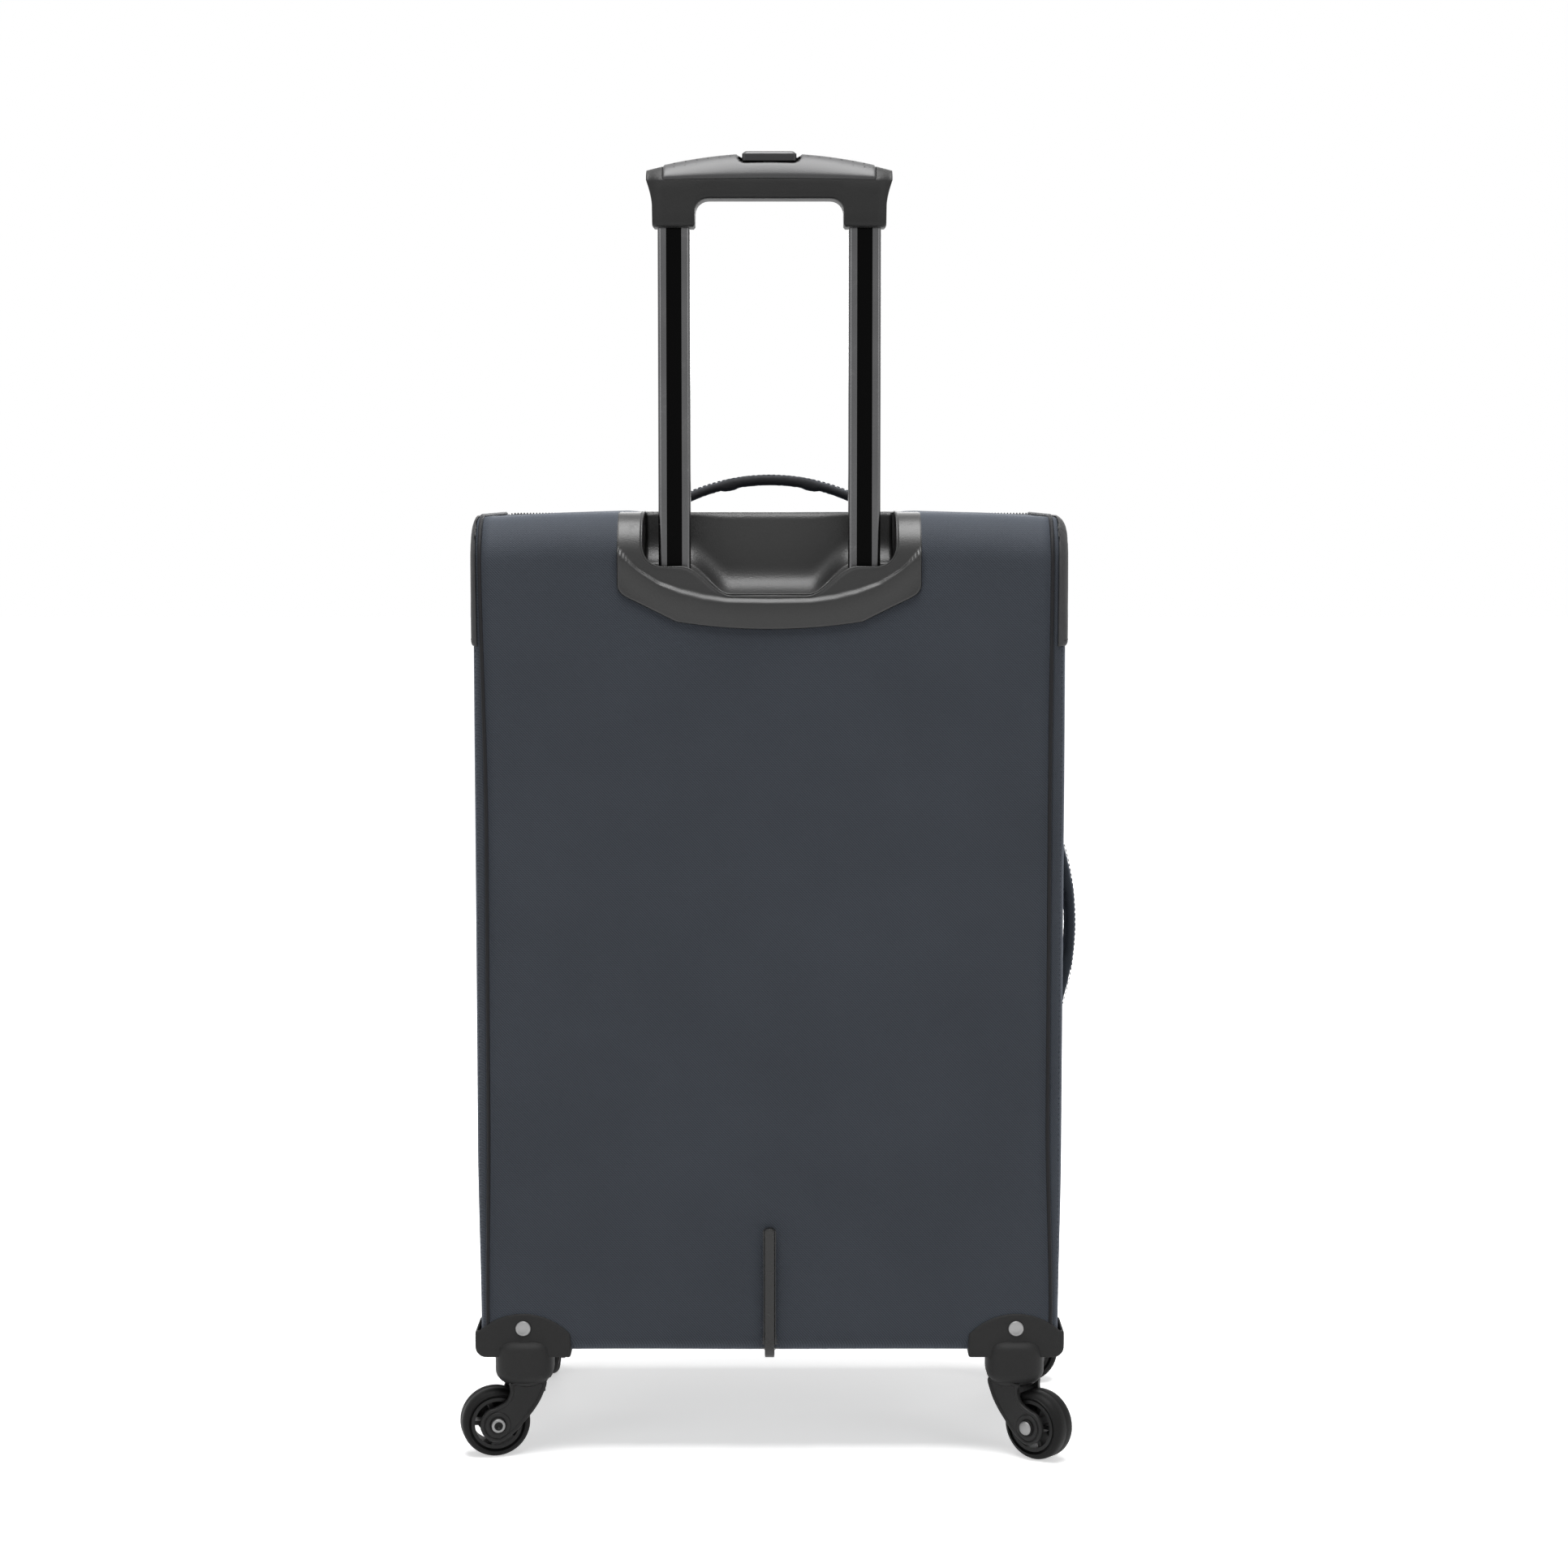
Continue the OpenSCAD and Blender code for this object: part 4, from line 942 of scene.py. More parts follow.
grip = face_outwards(mesh_piece("hand_grip", points, ring_faces(len(stations), len(ring)), grip_skin))
split_edges(grip, 50)
settle(grip, "upper_stage", "grip_plastic", "trolley_grip")

xs = steps(-pad_half + 0.0005, pad_half - 0.0005, 0.0011) + [pad_half - 0.0005]
ds = steps(-grip_half_d + 0.0005, grip_half_d - 0.0005, 0.0009) + [grip_half_d - 0.0005]
points = []
for x in xs:
    for d in ds:
        edge = min(pad_half - 0.0005 - abs(x), grip_half_d - 0.0005 - abs(d), -in_well(x, d))
        lift = 0.0002 - 0.0011 * (1 - min(1.0, max(0.0, edge) / 0.0011)) ** 2
        points.append((x, grip_middle + d, grip_surface(x, d) + lift))


def clear_of_well(i, j):
    """True for the pad's faces outside the button's well."""
    return in_well((xs[i] + xs[i + 1]) / 2, (ds[j] + ds[j + 1]) / 2) < 0


pad = mesh_piece("grip_top_pad", points, grid_faces(len(xs), len(ds), clear_of_well), pad_skin)
thicken(pad, 0.0006)
settle(face_outwards(pad), "upper_stage", "grip_rubber", "grip_pad")

# Painted shade: the dimples are dark discs standing just proud of the pad, and their black stands in for the
# shade in the moulded hollows.
first_dot, dot_pitch, dot_sides = 0.0255, 0.0076, 12
dot_profile = ((0.00155, -0.0008), (0.0015, 0.0002), (0.0013, 0.0003), (0.0004, 0.0001))
points, faces = [], []
for side in (-1, 1):
    for i in range(6):
        for row in (-1, 1):
            x = side * (first_dot + dot_pitch * i)
            d = -0.0084 if row < 0 else -0.0034
            y, z = grip_middle + d, grip_surface(x, d) + 0.0005
            slope = (grip_surface(x, d + 0.0005) - grip_surface(x, d - 0.0005)) / 0.001
            first = len(points)
            tilt = -math.atan(slope)
            for radius, lift in dot_profile:
                for k in range(dot_sides):
                    a = math.tau * k / dot_sides
                    u, v = radius * math.cos(a), radius * math.sin(a)
                    points.append((x + u, y + v * math.cos(tilt) + lift * math.sin(tilt),
                                   z - v * math.sin(tilt) + lift * math.cos(tilt)))
            faces += [tuple(first + k for k in face) for face in ring_faces(4, dot_sides)]
dimples = mesh_piece("pad_dimples", points, faces, slide_plastic)
settle(face_outwards(dimples), "upper_stage", "grip_rubber")

# ---- Release button, push rods and spring ----
# A chamfered plastic button stands in a well in the middle of the pad. It presses a yoke with
# two steel-grey rods down inside the tubes, against a small coil spring.
button_r = 0.0022
low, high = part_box("release_button")
points = []
for z, inset in ((-0.0068, 0.0006), (-0.0064, 0.0), (-0.0018, 0.0), (-0.0003, 0.0016), (0.0, 0.0021),
                 (-0.0003, 0.0060)):
    half_w, half_d = high.x - inset, (high.y - low.y) / 2 - inset
    for sx, sy, start in ((1, 1, 0), (-1, 1, 90), (-1, -1, 180), (1, -1, 270)):
        for k in range(7):
            a = math.radians(start + 15 * k)
            points.append((sx * (half_w - button_r) + button_r * math.cos(a), grip_middle
                           + sy * (half_d - button_r) + button_r * math.sin(a), high.z + z))
cap = face_outwards(mesh_piece("button_cap", points, ring_faces(6, 28), button_skin, smooth=False))
stem_points = [(sx * 0.0044, grip_middle + sy * 0.0024, z) for z in (low.z, high.z - 0.0060)
               for sx, sy in ((-1, -1), (1, -1), (1, 1), (-1, 1))]
stem = face_outwards(mesh_piece("button_stem", stem_points, ring_faces(2, 4), button_skin,
                                smooth=False))
settle(join("push_button", [cap, stem]), "release", "button_plastic", "release_button")
finish_node("push_rods", tube_metal)
low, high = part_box("button_spring")
coil_r = (high.x - low.x) / 2 - 0.0004
middle = (low + high) / 2
turns = [math.tau * k / 20 for k in range(101)]
coil = sweep("return_spring", [(middle.x + coil_r * math.cos(a), middle.y + coil_r * math.sin(a),
                                low.z + 0.0004 + (high.z - low.z - 0.0008) * a / turns[-1])
                               for a in turns], (0, 0, 1), round_profile(0.0004, 8), tube_metal)
settle(coil, "upper_stage", "spring_steel", "button_spring")
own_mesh(coil)

# ---- Carry handles ----
# Each is a strap of webbing inside a padded fabric sleeve, sewn down to a moulded plate at
# both ends. The sleeve bunches a little where the hand's hold ends.
handle_cloth = woven("handle_cloth", (0.020, 0.020, 0.022), (0.010, 0.010, 0.011), rough=0.66,
                     sheen=0.3, rib_scale=420.0)
navy_handle = woven("navy_handle_cloth", (0.024, 0.029, 0.037), (0.013, 0.016, 0.021), rough=0.68,
                    sheen=0.3, rib_scale=420.0)


def bow_radius(chord, rise):
    """The radius of a bow over a chord."""
    return (chord ** 2 / 4 + rise ** 2) / (2 * rise)


def padded_strap(name, chord, rise, to_row, material):
    """A bowed padded handle; to_row turns (along, across, out) into a point of the row."""
    r = bow_radius(chord, rise)
    low = 0.0032
    reach = math.acos((r - rise + low) / r)
    points, sides, count = [], 20, 96
    for i in range(count + 1):
        a = reach * (2 * i / count - 1)
        along = abs(r * math.sin(a))
        hold = ease(along, 0.036, 0.029)
        bunch = ease(along, 0.022, 0.027) * ease(along, 0.037, 0.032)
        end = ease(along, chord / 2 - 0.016, chord / 2 - 0.003)
        thick = 0.0033 + 0.0005 * hold - 0.0008 * end
        for j in range(sides):
            t = math.tau * j / sides
            c, s = math.cos(t), math.sin(t)
            across = 0.0112 * math.copysign(abs(c) ** 0.45, c) * (1 - 0.06 * hold + 0.08 * end)
            out = thick * math.copysign(abs(s) ** 0.75, s)
            crinkle = 0.00035 * noise.noise(Vector((a * 90, across * 90, s + 4.0)))
            if s < 0:
                out -= 0.0010 * bunch
            out += crinkle
            points.append(to_row(math.sin(a) * (r + out), across,
                                 math.cos(a) * (r + out) - (r - rise)))
    strap = face_outwards(mesh_piece(name, points, ring_faces(count + 1, sides), material))
    return strap


def handle_threads(name, chord, rise, to_row, edge):
    """The topstitching along one edge of a handle, on its outer face."""
    r = bow_radius(chord, rise)
    path = []
    for i in range(60):
        a = math.asin((chord / 2 - 0.012) / r) * (2 * i / 59 - 1)
        out = Vector(to_row(math.sin(a), 0, math.cos(a))) - Vector(to_row(0, 0, 0))
        path.append((to_row(math.sin(a) * (r + 0.0036), edge, math.cos(a) * (r + 0.0036)
                            - (r - rise)), out))
    return thread_row(name, path, thread_cloth, wide=0.0006)


middle_y = back_y + 0.111
side_z = under_z + 0.286


def on_top(along, across, out):
    """A point of the top handle."""
    return (along, middle_y + across, top_z + out)


def on_side(along, across, out):
    """A point of the side handle."""
    return (half_case + out, middle_y + across, side_z - along)


rows = []
for place, chord, rise, to_row, cloth in (("top", 0.160, 0.025, on_top, handle_cloth),
                                          ("side", 0.141, 0.013, on_side, navy_handle)):
    settle(padded_strap(place + "_carry_handle", chord, rise, to_row, cloth), "case",
           "handle_fabric", place + "_handle")
    rows += [handle_threads("handle_thread", chord, rise, to_row, edge)
             for edge in (-0.0075, 0.0075)]
settle(join("handle_stitches", rows), "case", "handle_fabric")
anchor_skin = moulding("anchor_plastic", (0.016, 0.016, 0.016), rough=0.42)
settle(moulded("handle_anchor_plates", ["handle_anchors"], anchor_skin, 0.0006, 3), "case",
       "moulded_plastic", "handle_anchors")

# ---- Skid runner ----
# A glossy moulded ridge that the suitcase slides on over kerbs, sewn down by its flanges.
skid_skin = moulding("skid_plastic", (0.010, 0.010, 0.010), rough=0.26, grain_scale=700.0,
                     grain_depth=0.00003, scuffs=0.5)
settle(moulded("skid_runner", ["skid"], skid_skin, 0.0006, 4), "case", "skid_plastic", "skid")
rows = []
for side in (-1, 1):
    path = [((side * 0.0056, back_y - 0.0013, z), (0, -1, 0))
            for z in steps(under_z + 0.010, under_z + 0.080, 0.004)]
    rows.append(thread_row("skid_thread", path, thread_cloth))
settle(join("skid_stitches", rows), "case", "skid_plastic")

# ---- Corner brackets and casters ----
# Grained nylon brackets wrap the bottom corners, riveted through the base. Each carries a
# swivelling fork on a kingpin, and the wheel is a rubber tyre on a spoked hub.
bracket_skin = moulding("bracket_nylon", (0.0105, 0.0105, 0.0105), rough=0.60, shine=0.18, grain_scale=800.0,
                        grain_depth=0.00016, scuffs=0.2)
fork_skin = moulding("fork_nylon", (0.0085, 0.0085, 0.0085), rough=0.48, shine=0.2, grain_scale=900.0,
                     grain_depth=0.0001, scuffs=0.2)
hub_skin = moulding("hub_nylon", (0.007, 0.007, 0.007), rough=0.42, shine=0.2)
tyre_skin = moulding("tyre_rubber", (0.0048, 0.0048, 0.0048), rough=0.55, shine=0.12, grain_scale=600.0,
                     grain_depth=0.00012, scuffs=0.5)
steel = moulding("rivet_steel", (0.21, 0.21, 0.21), rough=0.42, metal=0.85, grain_scale=900.0,
                 grain_depth=0.00003)
bracket_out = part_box("corner_brackets")[1].x
bracket_low = under_z - 0.0042


def round_foot(point):
    """Rounds the outer bottom corner of a bracket, seen from the back."""
    u, v = abs(point.x) - bracket_out + 0.0075, bracket_low + 0.0075 - point.z
    if u > 0 and v > 0 and point.z > bracket_low - 0.001:
        share = max(u, v) / math.hypot(u, v)
        return Vector((math.copysign(bracket_out - 0.0075 + u * share, point.x), point.y,
                       bracket_low + 0.0075 - v * share))
    return point


settle(moulded("bottom_corner_brackets", ["corner_brackets"], bracket_skin, 0.0011, 5, round_foot),
       "case", "moulded_plastic", "corner_brackets")
swivel_x = half_case - 0.0315
swivel_in = 0.016
barrels, barrel_sides = [], 56
heights = [(-0.0220, 0.76), (-0.0216, 0.84), (-0.0185, 0.955), (-0.0165, 0.99), (-0.0145, 1.0),
           (-0.007, 1.0), (-0.0007, 1.0)]
heights += [(-0.0007 + 0.0107 * t, (1 - t ** 2.5) ** 0.4)
            for t in (0.12, 0.25, 0.38, 0.5, 0.62, 0.73, 0.83, 0.91, 0.97, 0.995)]
for x_side in (-1, 1):
    for y_side, middle in ((-1, back_y + swivel_in), (1, back_y + case_depth - swivel_in)):
        points = []
        for z, reach in heights:
            for k in range(barrel_sides):
                a = math.tau * k / barrel_sides
                c, t = math.cos(a), math.sin(a)
                x = 0.0203 * reach * math.copysign(abs(c) ** 0.62, c)
                depth = (0.0238 if t > 0 else 0.0192) * reach * math.copysign(abs(t) ** 0.62, t)
                points.append((x_side * swivel_x + x, middle + y_side * depth, under_z + z))
        faces = ring_faces(len(heights), barrel_sides)
        barrels.append(face_outwards(mesh_piece("barrel", points, faces, bracket_skin)))
settle(join("caster_barrels", barrels), "case", "moulded_plastic")


def turned(profile, centre, axis, material, name, sides=48):
    """A turned piece: (radius, along axis) offsets from a centre, from one end to the other."""
    axis = Vector(axis).normalized()
    u = axis.orthogonal().normalized()
    v = axis.cross(u)
    points = [Vector(centre) + axis * along
              + (u * math.cos(math.tau * k / sides) + v * math.sin(math.tau * k / sides)) * radius
              for radius, along in profile for k in range(sides)]
    return face_outwards(mesh_piece(name, points, ring_faces(len(profile), sides), material))


rivets = []
for x_side in (-1, 1):
    for face_y, out in ((back_y - 0.0025, -1), (back_y + case_depth + 0.0025, 1)):
        profile = [(0.0020, -0.0020), (0.0049, -0.0002), (0.0053, 0.0004), (0.0052, 0.0009),
                   (0.0046, 0.0013), (0.0040, 0.0012), (0.0034, 0.0009), (0.0018, 0.00085),
                   (0.0003, 0.0008)]
        rivets.append(turned(profile, (x_side * swivel_x, face_y, under_z + 0.0165),
                             (0, out, 0), steel, "rivet"))
settle(join("bracket_rivet_heads", rivets), "case", "rivet_steel", "bracket_rivets")


def smooth_loop(corners, per=5):
    """A closed curve that passes smoothly through its corner points."""
    loop, count = [], len(corners)
    for i in range(count):
        p0, p1, p2, p3 = (Vector(corners[(i + k) % count]) for k in (-1, 0, 1, 2))
        for k in range(per):
            t = k / per
            loop.append(0.5 * (2 * p1 + (p2 - p0) * t + (2 * p0 - 5 * p1 + 4 * p2 - p3) * t * t
                               + (3 * p1 - p0 - 3 * p2 + p3) * t ** 3))
    return loop


def drawn_in(loop, inset):
    """A closed flat curve drawn in towards its inside."""
    result, count = [], len(loop)
    for i, p in enumerate(loop):
        t = (loop[(i + 1) % count] - loop[i - 1]).normalized()
        result.append(p + Vector((t.y, -t.x)) * inset)
    return result


def caster_fork(name):
    """A fork with its swivel on Z and its wheel on +X: two curved arms, a crown and a bridge."""
    trail, axle_z, crown = 0.0215, 0.024, 0.0537
    outline = [(-0.0125, crown), (0.0, crown + 0.0001), (0.0120, crown), (0.0128, 0.0462),
               (0.0158, 0.0402)]
    outline += [(trail + 0.0122 * math.cos(math.radians(a)), axle_z + 0.0122 * math.sin(math.radians(a)))
                for a in range(84, -121, -24)]
    outline += [(0.0085, 0.0190), (0.0020, 0.0262), (-0.0045, 0.0340), (-0.0098, 0.0430)]
    loop = smooth_loop(outline)
    arms = []
    for side in (-1, 1):
        levels = ((0.0006, 0.0106), (0.0, 0.0110), (0.0, 0.0134), (0.0003, 0.0140), (0.0009, 0.0143),
                  (0.0018, 0.0143), (0.0024, 0.0140), (0.0027, 0.0136))
        points = [(p.x, side * y, p.y) for inset, y in levels for p in drawn_in(loop, inset)]
        faces = ring_faces(len(levels), len(loop))
        arms.append(face_outwards(mesh_piece("arm", points, faces, fork_skin)))
        boss = [(0.0092, 0.0130), (0.0089, 0.0142), (0.0083, 0.0145), (0.0060, 0.0145),
                (0.0055, 0.0141), (0.0030, 0.0140)]
        arms.append(turned(boss, (trail, 0, axle_z), (0, side, 0), fork_skin, "boss", 40))
    arms.append(turned([(0.0060, 0.0500), (0.0140, 0.0500), (0.0155, 0.0512), (0.0158, 0.0530),
                        (0.0150, 0.0537), (0.0060, 0.0537)], (0, 0, 0), (0, 0, 1), fork_skin,
                       "crown", 48))
    points = [(x, y, z) for z, grow in ((0.0455, -0.0006), (0.0461, 0.0), (0.0530, 0.0))
              for x, y in ((-0.0123 - grow, -0.0116), (-0.0123 - grow, 0.0116),
                           (-0.0092 + grow, 0.0116), (-0.0092 + grow, -0.0116))]
    arms.append(face_outwards(mesh_piece("bridge", points, ring_faces(3, 4), fork_skin, smooth=False)))
    fork = join(name, arms)
    split_edges(fork, 50)
    return fork


wheel_names = ("near_left", "near_right", "far_left", "far_right")
trail_angles = (193, 320, 90, 0)
for corner, angle in zip(wheel_names, trail_angles):
    turn = math.radians(angle)
    swivel = Vector(((-1 if corner.endswith("left") else 1) * swivel_x,
                     back_y + (swivel_in if corner.startswith("near") else case_depth - swivel_in), 0))
    fork = caster_fork("caster_fork_" + corner)
    fork.data.transform(Matrix.Translation(swivel) @ Matrix.Rotation(turn, 4, "Z"))
    settle(fork, "swivel_" + corner, "fork_plastic", "fork_" + corner)
    low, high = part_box("tyre_" + corner)
    centre = (low + high) / 2
    axle = Vector((-math.sin(turn), math.cos(turn), 0))
    profile = [(0.01805, -0.0088), (0.0200, -0.0098)]
    profile += [(0.0185 + 0.0055 * math.sin(math.radians(a)), -0.0045 - 0.0055 * math.cos(math.radians(a)))
                for a in range(10, 91, 16)]
    profile += [(0.0240, -0.0008), (0.02385, -0.0003), (0.02385, 0.0003), (0.0240, 0.0008)]
    profile += [(0.0185 + 0.0055 * math.sin(math.radians(a)), 0.0045 + 0.0055 * math.cos(math.radians(a)))
                for a in range(90, 9, -16)]
    profile += [(0.0200, 0.0098), (0.01805, 0.0088)]
    tyre = turned(profile, centre, axle, tyre_skin, "tread_" + corner, 80)
    ring = bmesh.new()
    ring.from_mesh(tyre.data)
    ends = [face for face in ring.faces if len(face.verts) > 4]
    bmesh.ops.delete(ring, geom=ends, context="FACES_ONLY")
    bmesh.ops.bridge_loops(ring, edges=[edge for edge in ring.edges if edge.is_boundary])
    ring.to_mesh(tyre.data)
    ring.free()
    settle(face_outwards(tyre), "wheel_" + corner, "tyre_rubber", "tyre_" + corner)
    finish_node("hub_" + corner, hub_skin)
    finish_node("pins_" + corner, steel)
    for side, hollow in ((-1, corner == "far_left"), (1, corner == "near_left")):
        head = 0.0158 if side < 0 else 0.0156
        profile = [(0.0046, 0.0), (0.0049, 0.0004), (0.0046, 0.0009), (0.0036, 0.0013)]
        profile += [(0.0028, 0.0012), (0.0024, 0.0002), (0.0002, 0.0001)] if hollow else [
            (0.0022, 0.0016), (0.0002, 0.0017)]
        place, out, end = centre + axle * side * head, axle * side, "in" if side < 0 else "out"
        # Painted shade: a dark plastic ring behind each axle head stands in for the shade in the gap around
        # it.
        ring = turned([(0.0054, -0.0014), (0.0054, -0.0008), (0.0040, -0.0008)], place, out,
                      slide_plastic, f"axle_recess_{corner}_{end}", 32)
        settle(ring, "swivel_" + corner, "fork_plastic")
        if hollow:
            # Painted shade: a dark disc inside a hollow head stands in for the shade in its hollow.
            eye = turned([(0.0030, 0.0013), (0.0026, 0.0014), (0.0012, 0.0010), (0.0002, 0.0010)],
                         place, out, slide_plastic, f"axle_eye_{corner}", 32)
            settle(eye, "swivel_" + corner, "fork_plastic")
        cap = turned(profile, place, out, steel, f"axle_head_{corner}_{end}", 32)
        settle(cap, "swivel_" + corner, "rivet_steel")

# ---- Boards, tray and hoop inside the case ----
# Twin-wall plastic boards stiffen the back, the top and the sides. A vacuum-formed tray holds
# the bottom square, and a spring-steel hoop keeps the front opening in shape.
board_stuff = moulding("twin_wall_board", (0.36, 0.36, 0.35), rough=0.55, grain_scale=240.0,
                       grain_depth=0.0003)
tray_stuff = moulding("tray_plastic", (0.020, 0.020, 0.022), rough=0.5)
finish_node("back_board", board_stuff)
finish_node("top_board", board_stuff)
finish_node("base_tray", tray_stuff)
finish_node("rim_hoop", steel)
boards = []
low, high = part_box("side_boards")
for side in (-1, 1):
    ys = steps(low.y + 0.011, high.y - 0.004, 0.0015)
    zs = steps(low.z + 0.002, high.z - 0.016, 0.012)
    points = [(side * (high.x - 0.0010 - 0.00025 * math.sin(y * math.tau / 0.006)), y, z)
              for z in zs for y in ys]
    board = mesh_piece("side_board", points, grid_faces(len(zs), len(ys)), board_stuff)
    if side < 0:
        board.data.flip_normals()
    thicken(board, 0.0022)
    boards.append(board)
settle(join("side_stiffeners", boards), "case", "twin_wall_board", "side_boards")

# ---- Lining and packing straps ----
# Grey polyester lining over thin foam covers the pole housings and steps out over the cup.
# Two pairs of webbing straps with side-release buckles hold the load.
lining_cloth = woven("lining_cloth", (0.21, 0.21, 0.23), (0.12, 0.12, 0.135), rough=0.6,
                     rib_scale=500.0)
webbing = woven("webbing", (0.020, 0.020, 0.022), (0.009, 0.009, 0.010), rough=0.7, rib_scale=260.0)
low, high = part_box("lining")
inner_y, outer_y = low.y + 0.0008, high.y - 0.0008
step_z = dip_z - 0.0045
line = [(inner_y, z) for z in steps(low.z, step_z - 0.006, 0.008)]
line += [(inner_y + 0.006 * (1 - math.cos(a)), step_z - 0.006 + 0.006 * math.sin(a))
         for a in (math.radians(15 * k) for k in range(6))]
line += [(y, step_z) for y in steps(inner_y + 0.006, outer_y - 0.006, 0.004)]
line += [(outer_y - 0.006 + 0.006 * math.sin(a), step_z + 0.006 * (1 - math.cos(a)))
         for a in (math.radians(15 * k) for k in range(7))]
line += [(outer_y, z) for z in steps(step_z + 0.008, high.z, 0.008)] + [(outer_y, high.z)]
points = []
for y, z in line:
    for i in range(61):
        x = low.x + (high.x - low.x) * i / 60
        quilt = 0.0005 * abs(math.sin(x * math.pi / 0.045)) ** 0.4
        points.append((x, y - 0.0004 + quilt + 0.0004 * noise.noise(Vector((x * 12, y * 12, z * 9))), z))
lining = mesh_piece("padded_lining", points, grid_faces(len(line), 61), lining_cloth)
thicken(lining, 0.0010, 0)
face_outwards(lining)
settle(lining, "case", "lining_fabric", "lining")
low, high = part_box("packing_straps")
straps = []
for strap_z in (low.z + 0.0125, high.z - 0.0125):
    for side in (-1, 1):
        points = []
        for i in range(50):
            x = 0.019 + (high.x - 0.019) * i / 49
            for j in range(7):
                z = strap_z + 0.025 * (j / 6 - 0.5)
                lift = 0.0005 * math.sin(i * 0.55) + 0.0002 * math.cos(math.pi * (j / 6 - 0.5))
                points.append((side * x, low.y + 0.0010 + lift, z))
        strap = mesh_piece("strap", points, grid_faces(50, 7), webbing)
        thicken(strap, 0.0010, 0)
        straps.append(face_outwards(strap))
settle(join("packing_strap_webbing", straps), "case", "webbing", "packing_straps")
settle(moulded("packing_strap_buckles", ["strap_buckles"], slide_plastic, 0.0007, 3), "case",
       "moulded_plastic", "strap_buckles")

# ---- Front panel ----
# The lid is the same navy twill over foam, with a piped edge. The zip's two tapes join it to
# the body all round, and at one side they work as its hinge.
lid_low, lid_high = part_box("lid_panel")
corner_r = 0.012


def lid_ring(inset, step=0.004):
    """Points (x, z) round the lid's outline, drawn in by an inset."""
    x1, z0, z1 = half_case - inset, lid_low.z + inset, top_z - inset
    r = max(0.0006, corner_r - inset)
    ring = []
    for cx, cz, start in ((-x1 + r, z0 + r, 270), (-x1 + r, z1 - r, 180), (x1 - r, z1 - r, 90),
                          (x1 - r, z0 + r, 0)):
        arc = [(cx + r * math.cos(math.radians(start - 10 * k)),
                cz + r * math.sin(math.radians(start - 10 * k))) for k in range(10)]
        if ring:
            ring += resample([ring[-1], arc[0]], round(math.dist(ring[-1], arc[0]) / step))[1:-1]
        ring += arc
    return ring + resample([ring[-1], ring[0]], round(math.dist(ring[-1], ring[0]) / step))[1:-1]


def tape_profile(depth):
    """A thin woven tape of one depth, just inside the outline."""
    return [(-0.0003, 0.0), (-0.0002, depth / 2), (-0.0003, depth), (-0.0014, depth), (-0.0014, 0.0)]


tape_cloth = woven("zip_tape", (0.014, 0.014, 0.015), (0.007, 0.007, 0.008), rough=0.7,
                   rib_scale=520.0)
tooth_nylon = moulding("zip_teeth", (0.010, 0.010, 0.011), rough=0.35, shine=0.4)
tape_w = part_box("zip_tape_body")[1].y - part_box("zip_tape_body")[0].y
for body, node, depth, teeth_y in (
    ("case", "zip_tape_body", tape_w, tape_w - 0.0008),
    ("lid", "lid_tape", tape_w + 0.0034, 0.0008),
):
    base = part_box(node)[0].y
    ring = lid_ring(0.0)
    settle(sweep(node + "_cloth", [(x, base, z) for x, z in ring], (0, 1, 0), tape_profile(depth),
                 tape_cloth, closed=True), body, "zip_tape", node)
    path = []
    for i, (x, z) in enumerate(ring + ring[:1]):
        ahead, behind = ring[(i + 1) % len(ring)], ring[(i - 1) % len(ring)]
        t = Vector((ahead[0] - behind[0], 0, ahead[1] - behind[1])).normalized()
        path.append(((x, base + teeth_y, z), t.cross(Vector((0, 1, 0)))))
    settle(thread_row(node + "_teeth", path, tooth_nylon, 0.0023, 0.0014, 0.0021), body, "zip_tape")


def soft_sheet(name, x0, z0, x1, z1, r, depth, material, thickness, step=0.006):
    """A flat sheet with rounded corners facing +Y; depth(x, z, edge) gives each point's y."""
    fine = [0.0, 0.0005, 0.0015, 0.003, 0.005, 0.008, 0.012]
    xs = [x0 + f for f in fine] + steps(x0 + 0.018, x1 - 0.012, step) + [x1 - f for f in reversed(fine)]
    zs = [z0 + f for f in fine] + steps(z0 + 0.018, z1 - 0.012, step) + [z1 - f for f in reversed(fine)]
    points = []
    for z in zs:
        for x in xs:
            u = max(x0 + r - x, x - x1 + r)
            v = max(z0 + r - z, z - z1 + r)
            edge, px, pz = min(x - x0, x1 - x, z - z0, z1 - z), x, z
            if u > 0 and v > 0:
                share = max(u, v) / math.hypot(u, v)
                px += math.copysign(u * (1 - share), (x0 + x1) / 2 - x)
                pz += math.copysign(v * (1 - share), (z0 + z1) / 2 - z)
                edge = r - max(u, v)
            points.append((px, depth(px, pz, edge), pz))
    sheet = mesh_piece(name, points, grid_faces(len(zs), len(xs)), material)
    sheet.data.flip_normals()
    thicken(sheet, thickness)
    return face_outwards(sheet)


def lid_depth(x, z, edge):
    """The lid's face: rolled at its edge and a little crowned."""
    t = max(0.0, min(1.0, edge / 0.006))
    crown = 0.0007 * (1 - (x / half_case) ** 2) + 0.0004 * noise.noise(Vector((x * 8, 5, z * 8)))
    return lid_high.y - 0.0030 + 0.0030 * math.sqrt(1 - (1 - t) ** 2) + crown * t


lid = soft_sheet("front_panel", -half_case + 0.0009, lid_low.z + 0.0009, half_case - 0.0009,
                 top_z - 0.0009, corner_r, lid_depth, body_cloth, 0.0035)
settle(lid, "lid", "body_fabric", "lid_panel")
settle(sweep("front_piping", [(x, lid_high.y - 0.0016, z) for x, z in lid_ring(0.0014)], (0, 1, 0),
             round_profile(0.0014, 10), cord_cloth, closed=True), "lid", "piping_cord", "lid_piping")

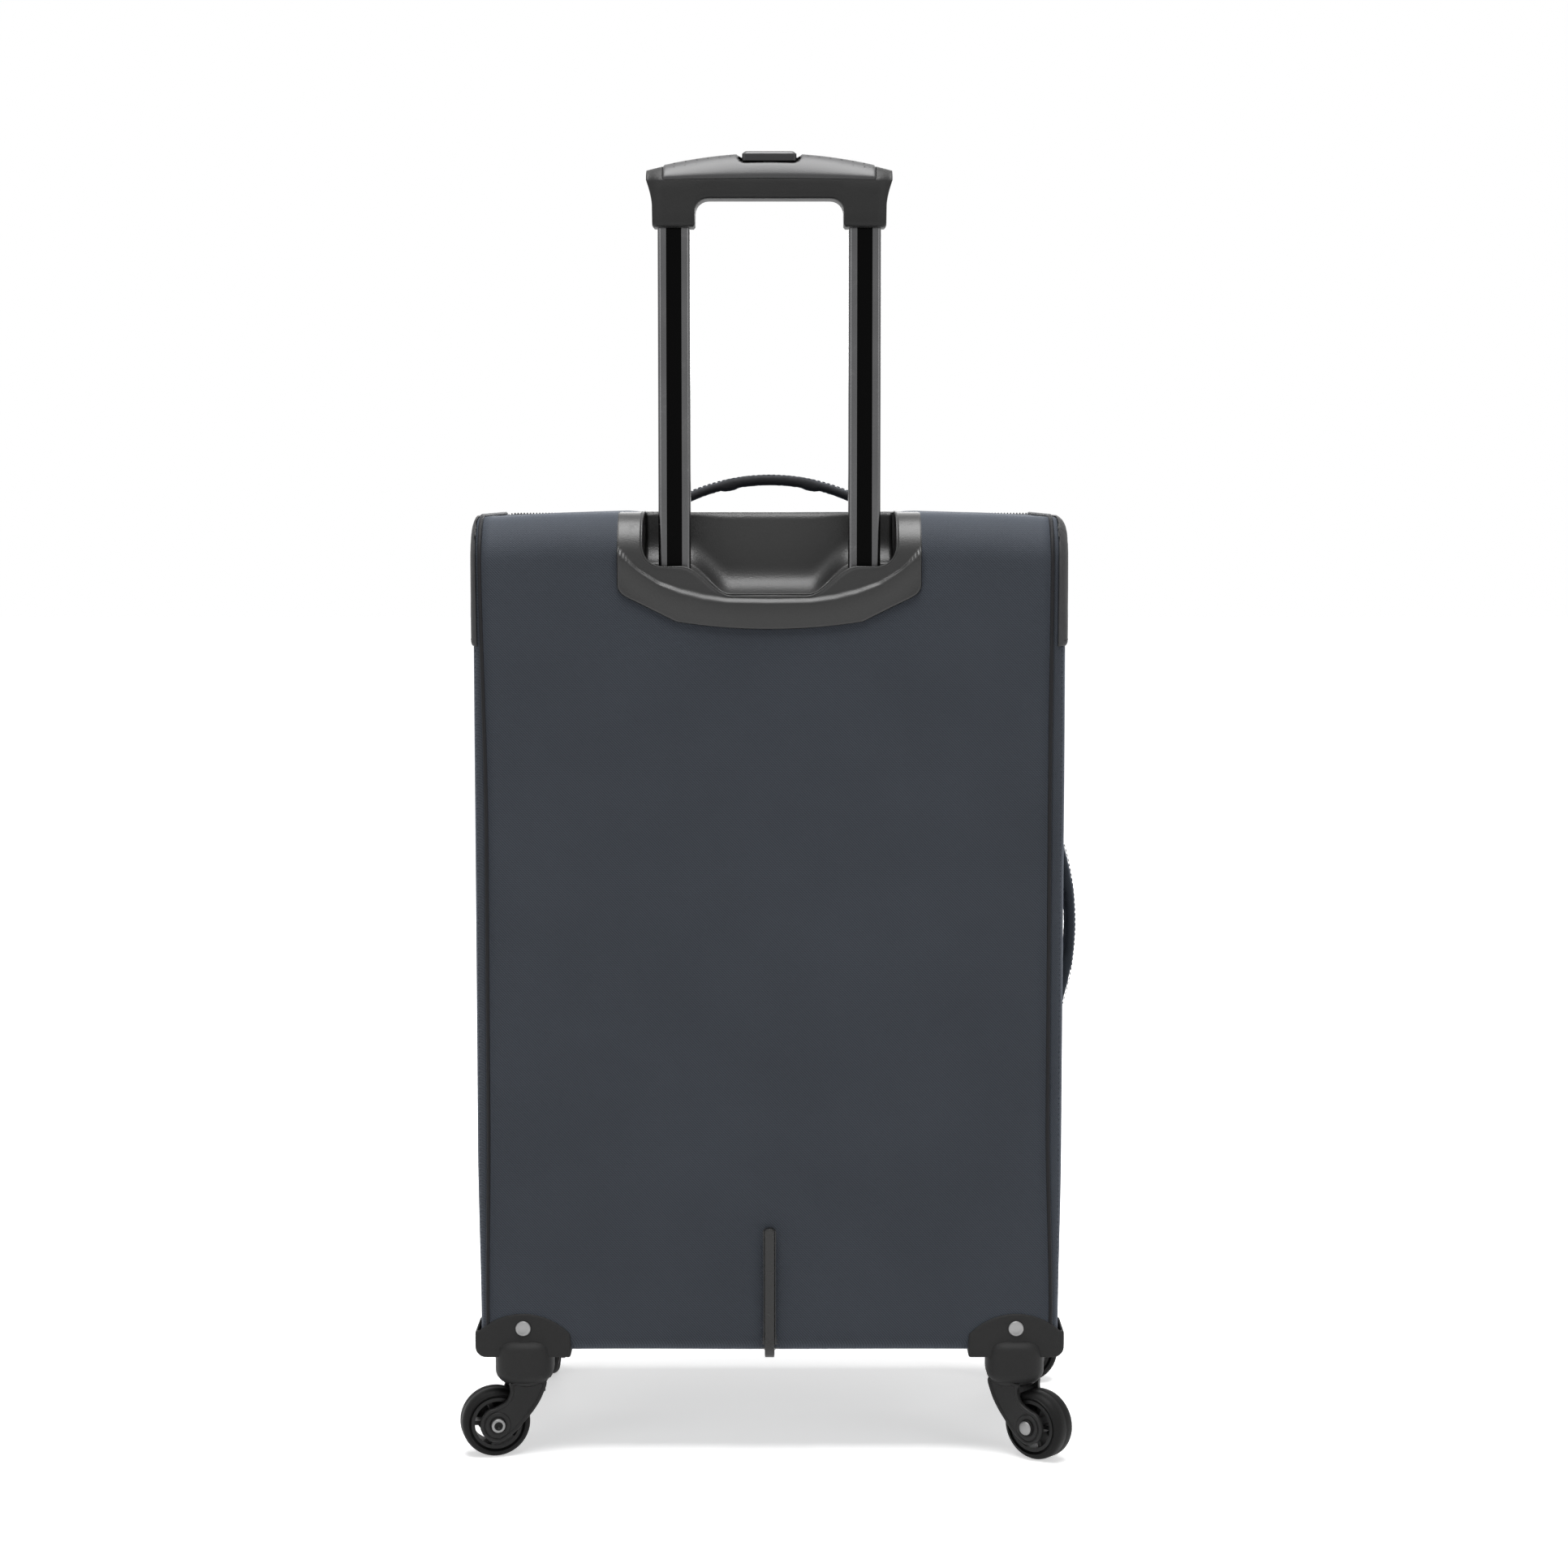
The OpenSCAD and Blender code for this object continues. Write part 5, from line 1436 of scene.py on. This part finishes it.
# ---- Front pockets ----
# Two gusseted pockets, a deep one below and a shallow one above, bound with piping. Each
# opens with a nylon coil zip across its top between two welts.
for name, node in (("lower", "lower_pocket"), ("upper", "upper_pocket")):
    low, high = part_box(node)
    thick = high.y - lid_high.y

    def pocket_depth(x, z, edge):
        """The pocket's face over the lid: a rounded gusset, then a slightly filled front."""
        t = max(0.0, min(1.0, edge / 0.009))
        filled = 0.0024 * ease(high.z - z, 0.024, 0.07) * ease(edge, 0.0, 0.08)
        crease = 0.0006 * noise.noise(Vector((x * 10, thick * 300, z * 13)))
        return lid_high.y + thick * math.sqrt(1 - (1 - t) ** 2) + (filled + crease) * (
            t * ease(high.z - z, 0.018, 0.03))

    pocket = soft_sheet(name + "_front_pocket", low.x, low.z, high.x, high.z, 0.014, pocket_depth,
                        body_cloth, 0.0016, 0.005)
    settle(pocket, "lid", "body_fabric", node)
    rim = [(x, z) for x, z in resample(
        [(low.x, low.z + 0.014), (low.x + 0.004, low.z + 0.004), (low.x + 0.014, low.z),
         (high.x - 0.014, low.z), (high.x - 0.004, low.z + 0.004), (high.x, low.z + 0.014),
         (high.x, high.z - 0.014), (high.x - 0.004, high.z - 0.004), (high.x - 0.014, high.z),
         (low.x + 0.014, high.z), (low.x + 0.004, high.z - 0.004), (low.x, high.z - 0.014),
         (low.x, low.z + 0.014)], 260)][:-1]
    settle(sweep(name + "_pocket_piping", [(x, lid_high.y + 0.0014, z) for x, z in reversed(rim)],
                 (0, 1, 0), round_profile(0.0013, 8), cord_cloth, closed=True), "lid", "piping_cord")
    zip_z = high.z - 0.012
    face_y = high.y
    path = [(x, face_y, zip_z) for x in steps(-0.150, 0.150, 0.005)] + [(0.150, face_y, zip_z)]
    strip = [sweep("tape", path, (0, 1, 0), [(-0.0058, -0.0006), (-0.0058, 0.0001), (0.0, 0.00018),
                                             (0.0058, 0.0001), (0.0058, -0.0006)], tape_cloth)]
    for side in (-1, 1):
        welt = [(x, face_y - 0.0001, z + side * 0.0066) for x, y, z in path]
        strip.append(sweep("welt", welt, (0, 1, 0), round_profile(0.0010, 8), body_cloth))
    settle(join(name + "_pocket_zip", strip), "lid", "zip_tape")
    settle(thread_row(name + "_pocket_teeth", [(p, (0, 1, 0)) for p in path], tooth_nylon, 0.0018,
                      0.0012, 0.0036), "lid", "zip_tape")

# ---- Zip sliders and pullers ----
# Die-cast zinc sliders, each with a bridge pin and a rounded pull tab.
zinc = moulding("dark_zinc", (0.16, 0.16, 0.165), rough=0.32, metal=1.0, grain_scale=700.0,
                grain_depth=0.00003)
for name in ("main", "lower_pocket", "upper_pocket"):
    finish_node(name + "_slider", zinc)
    finish_node(name + "_puller", zinc)
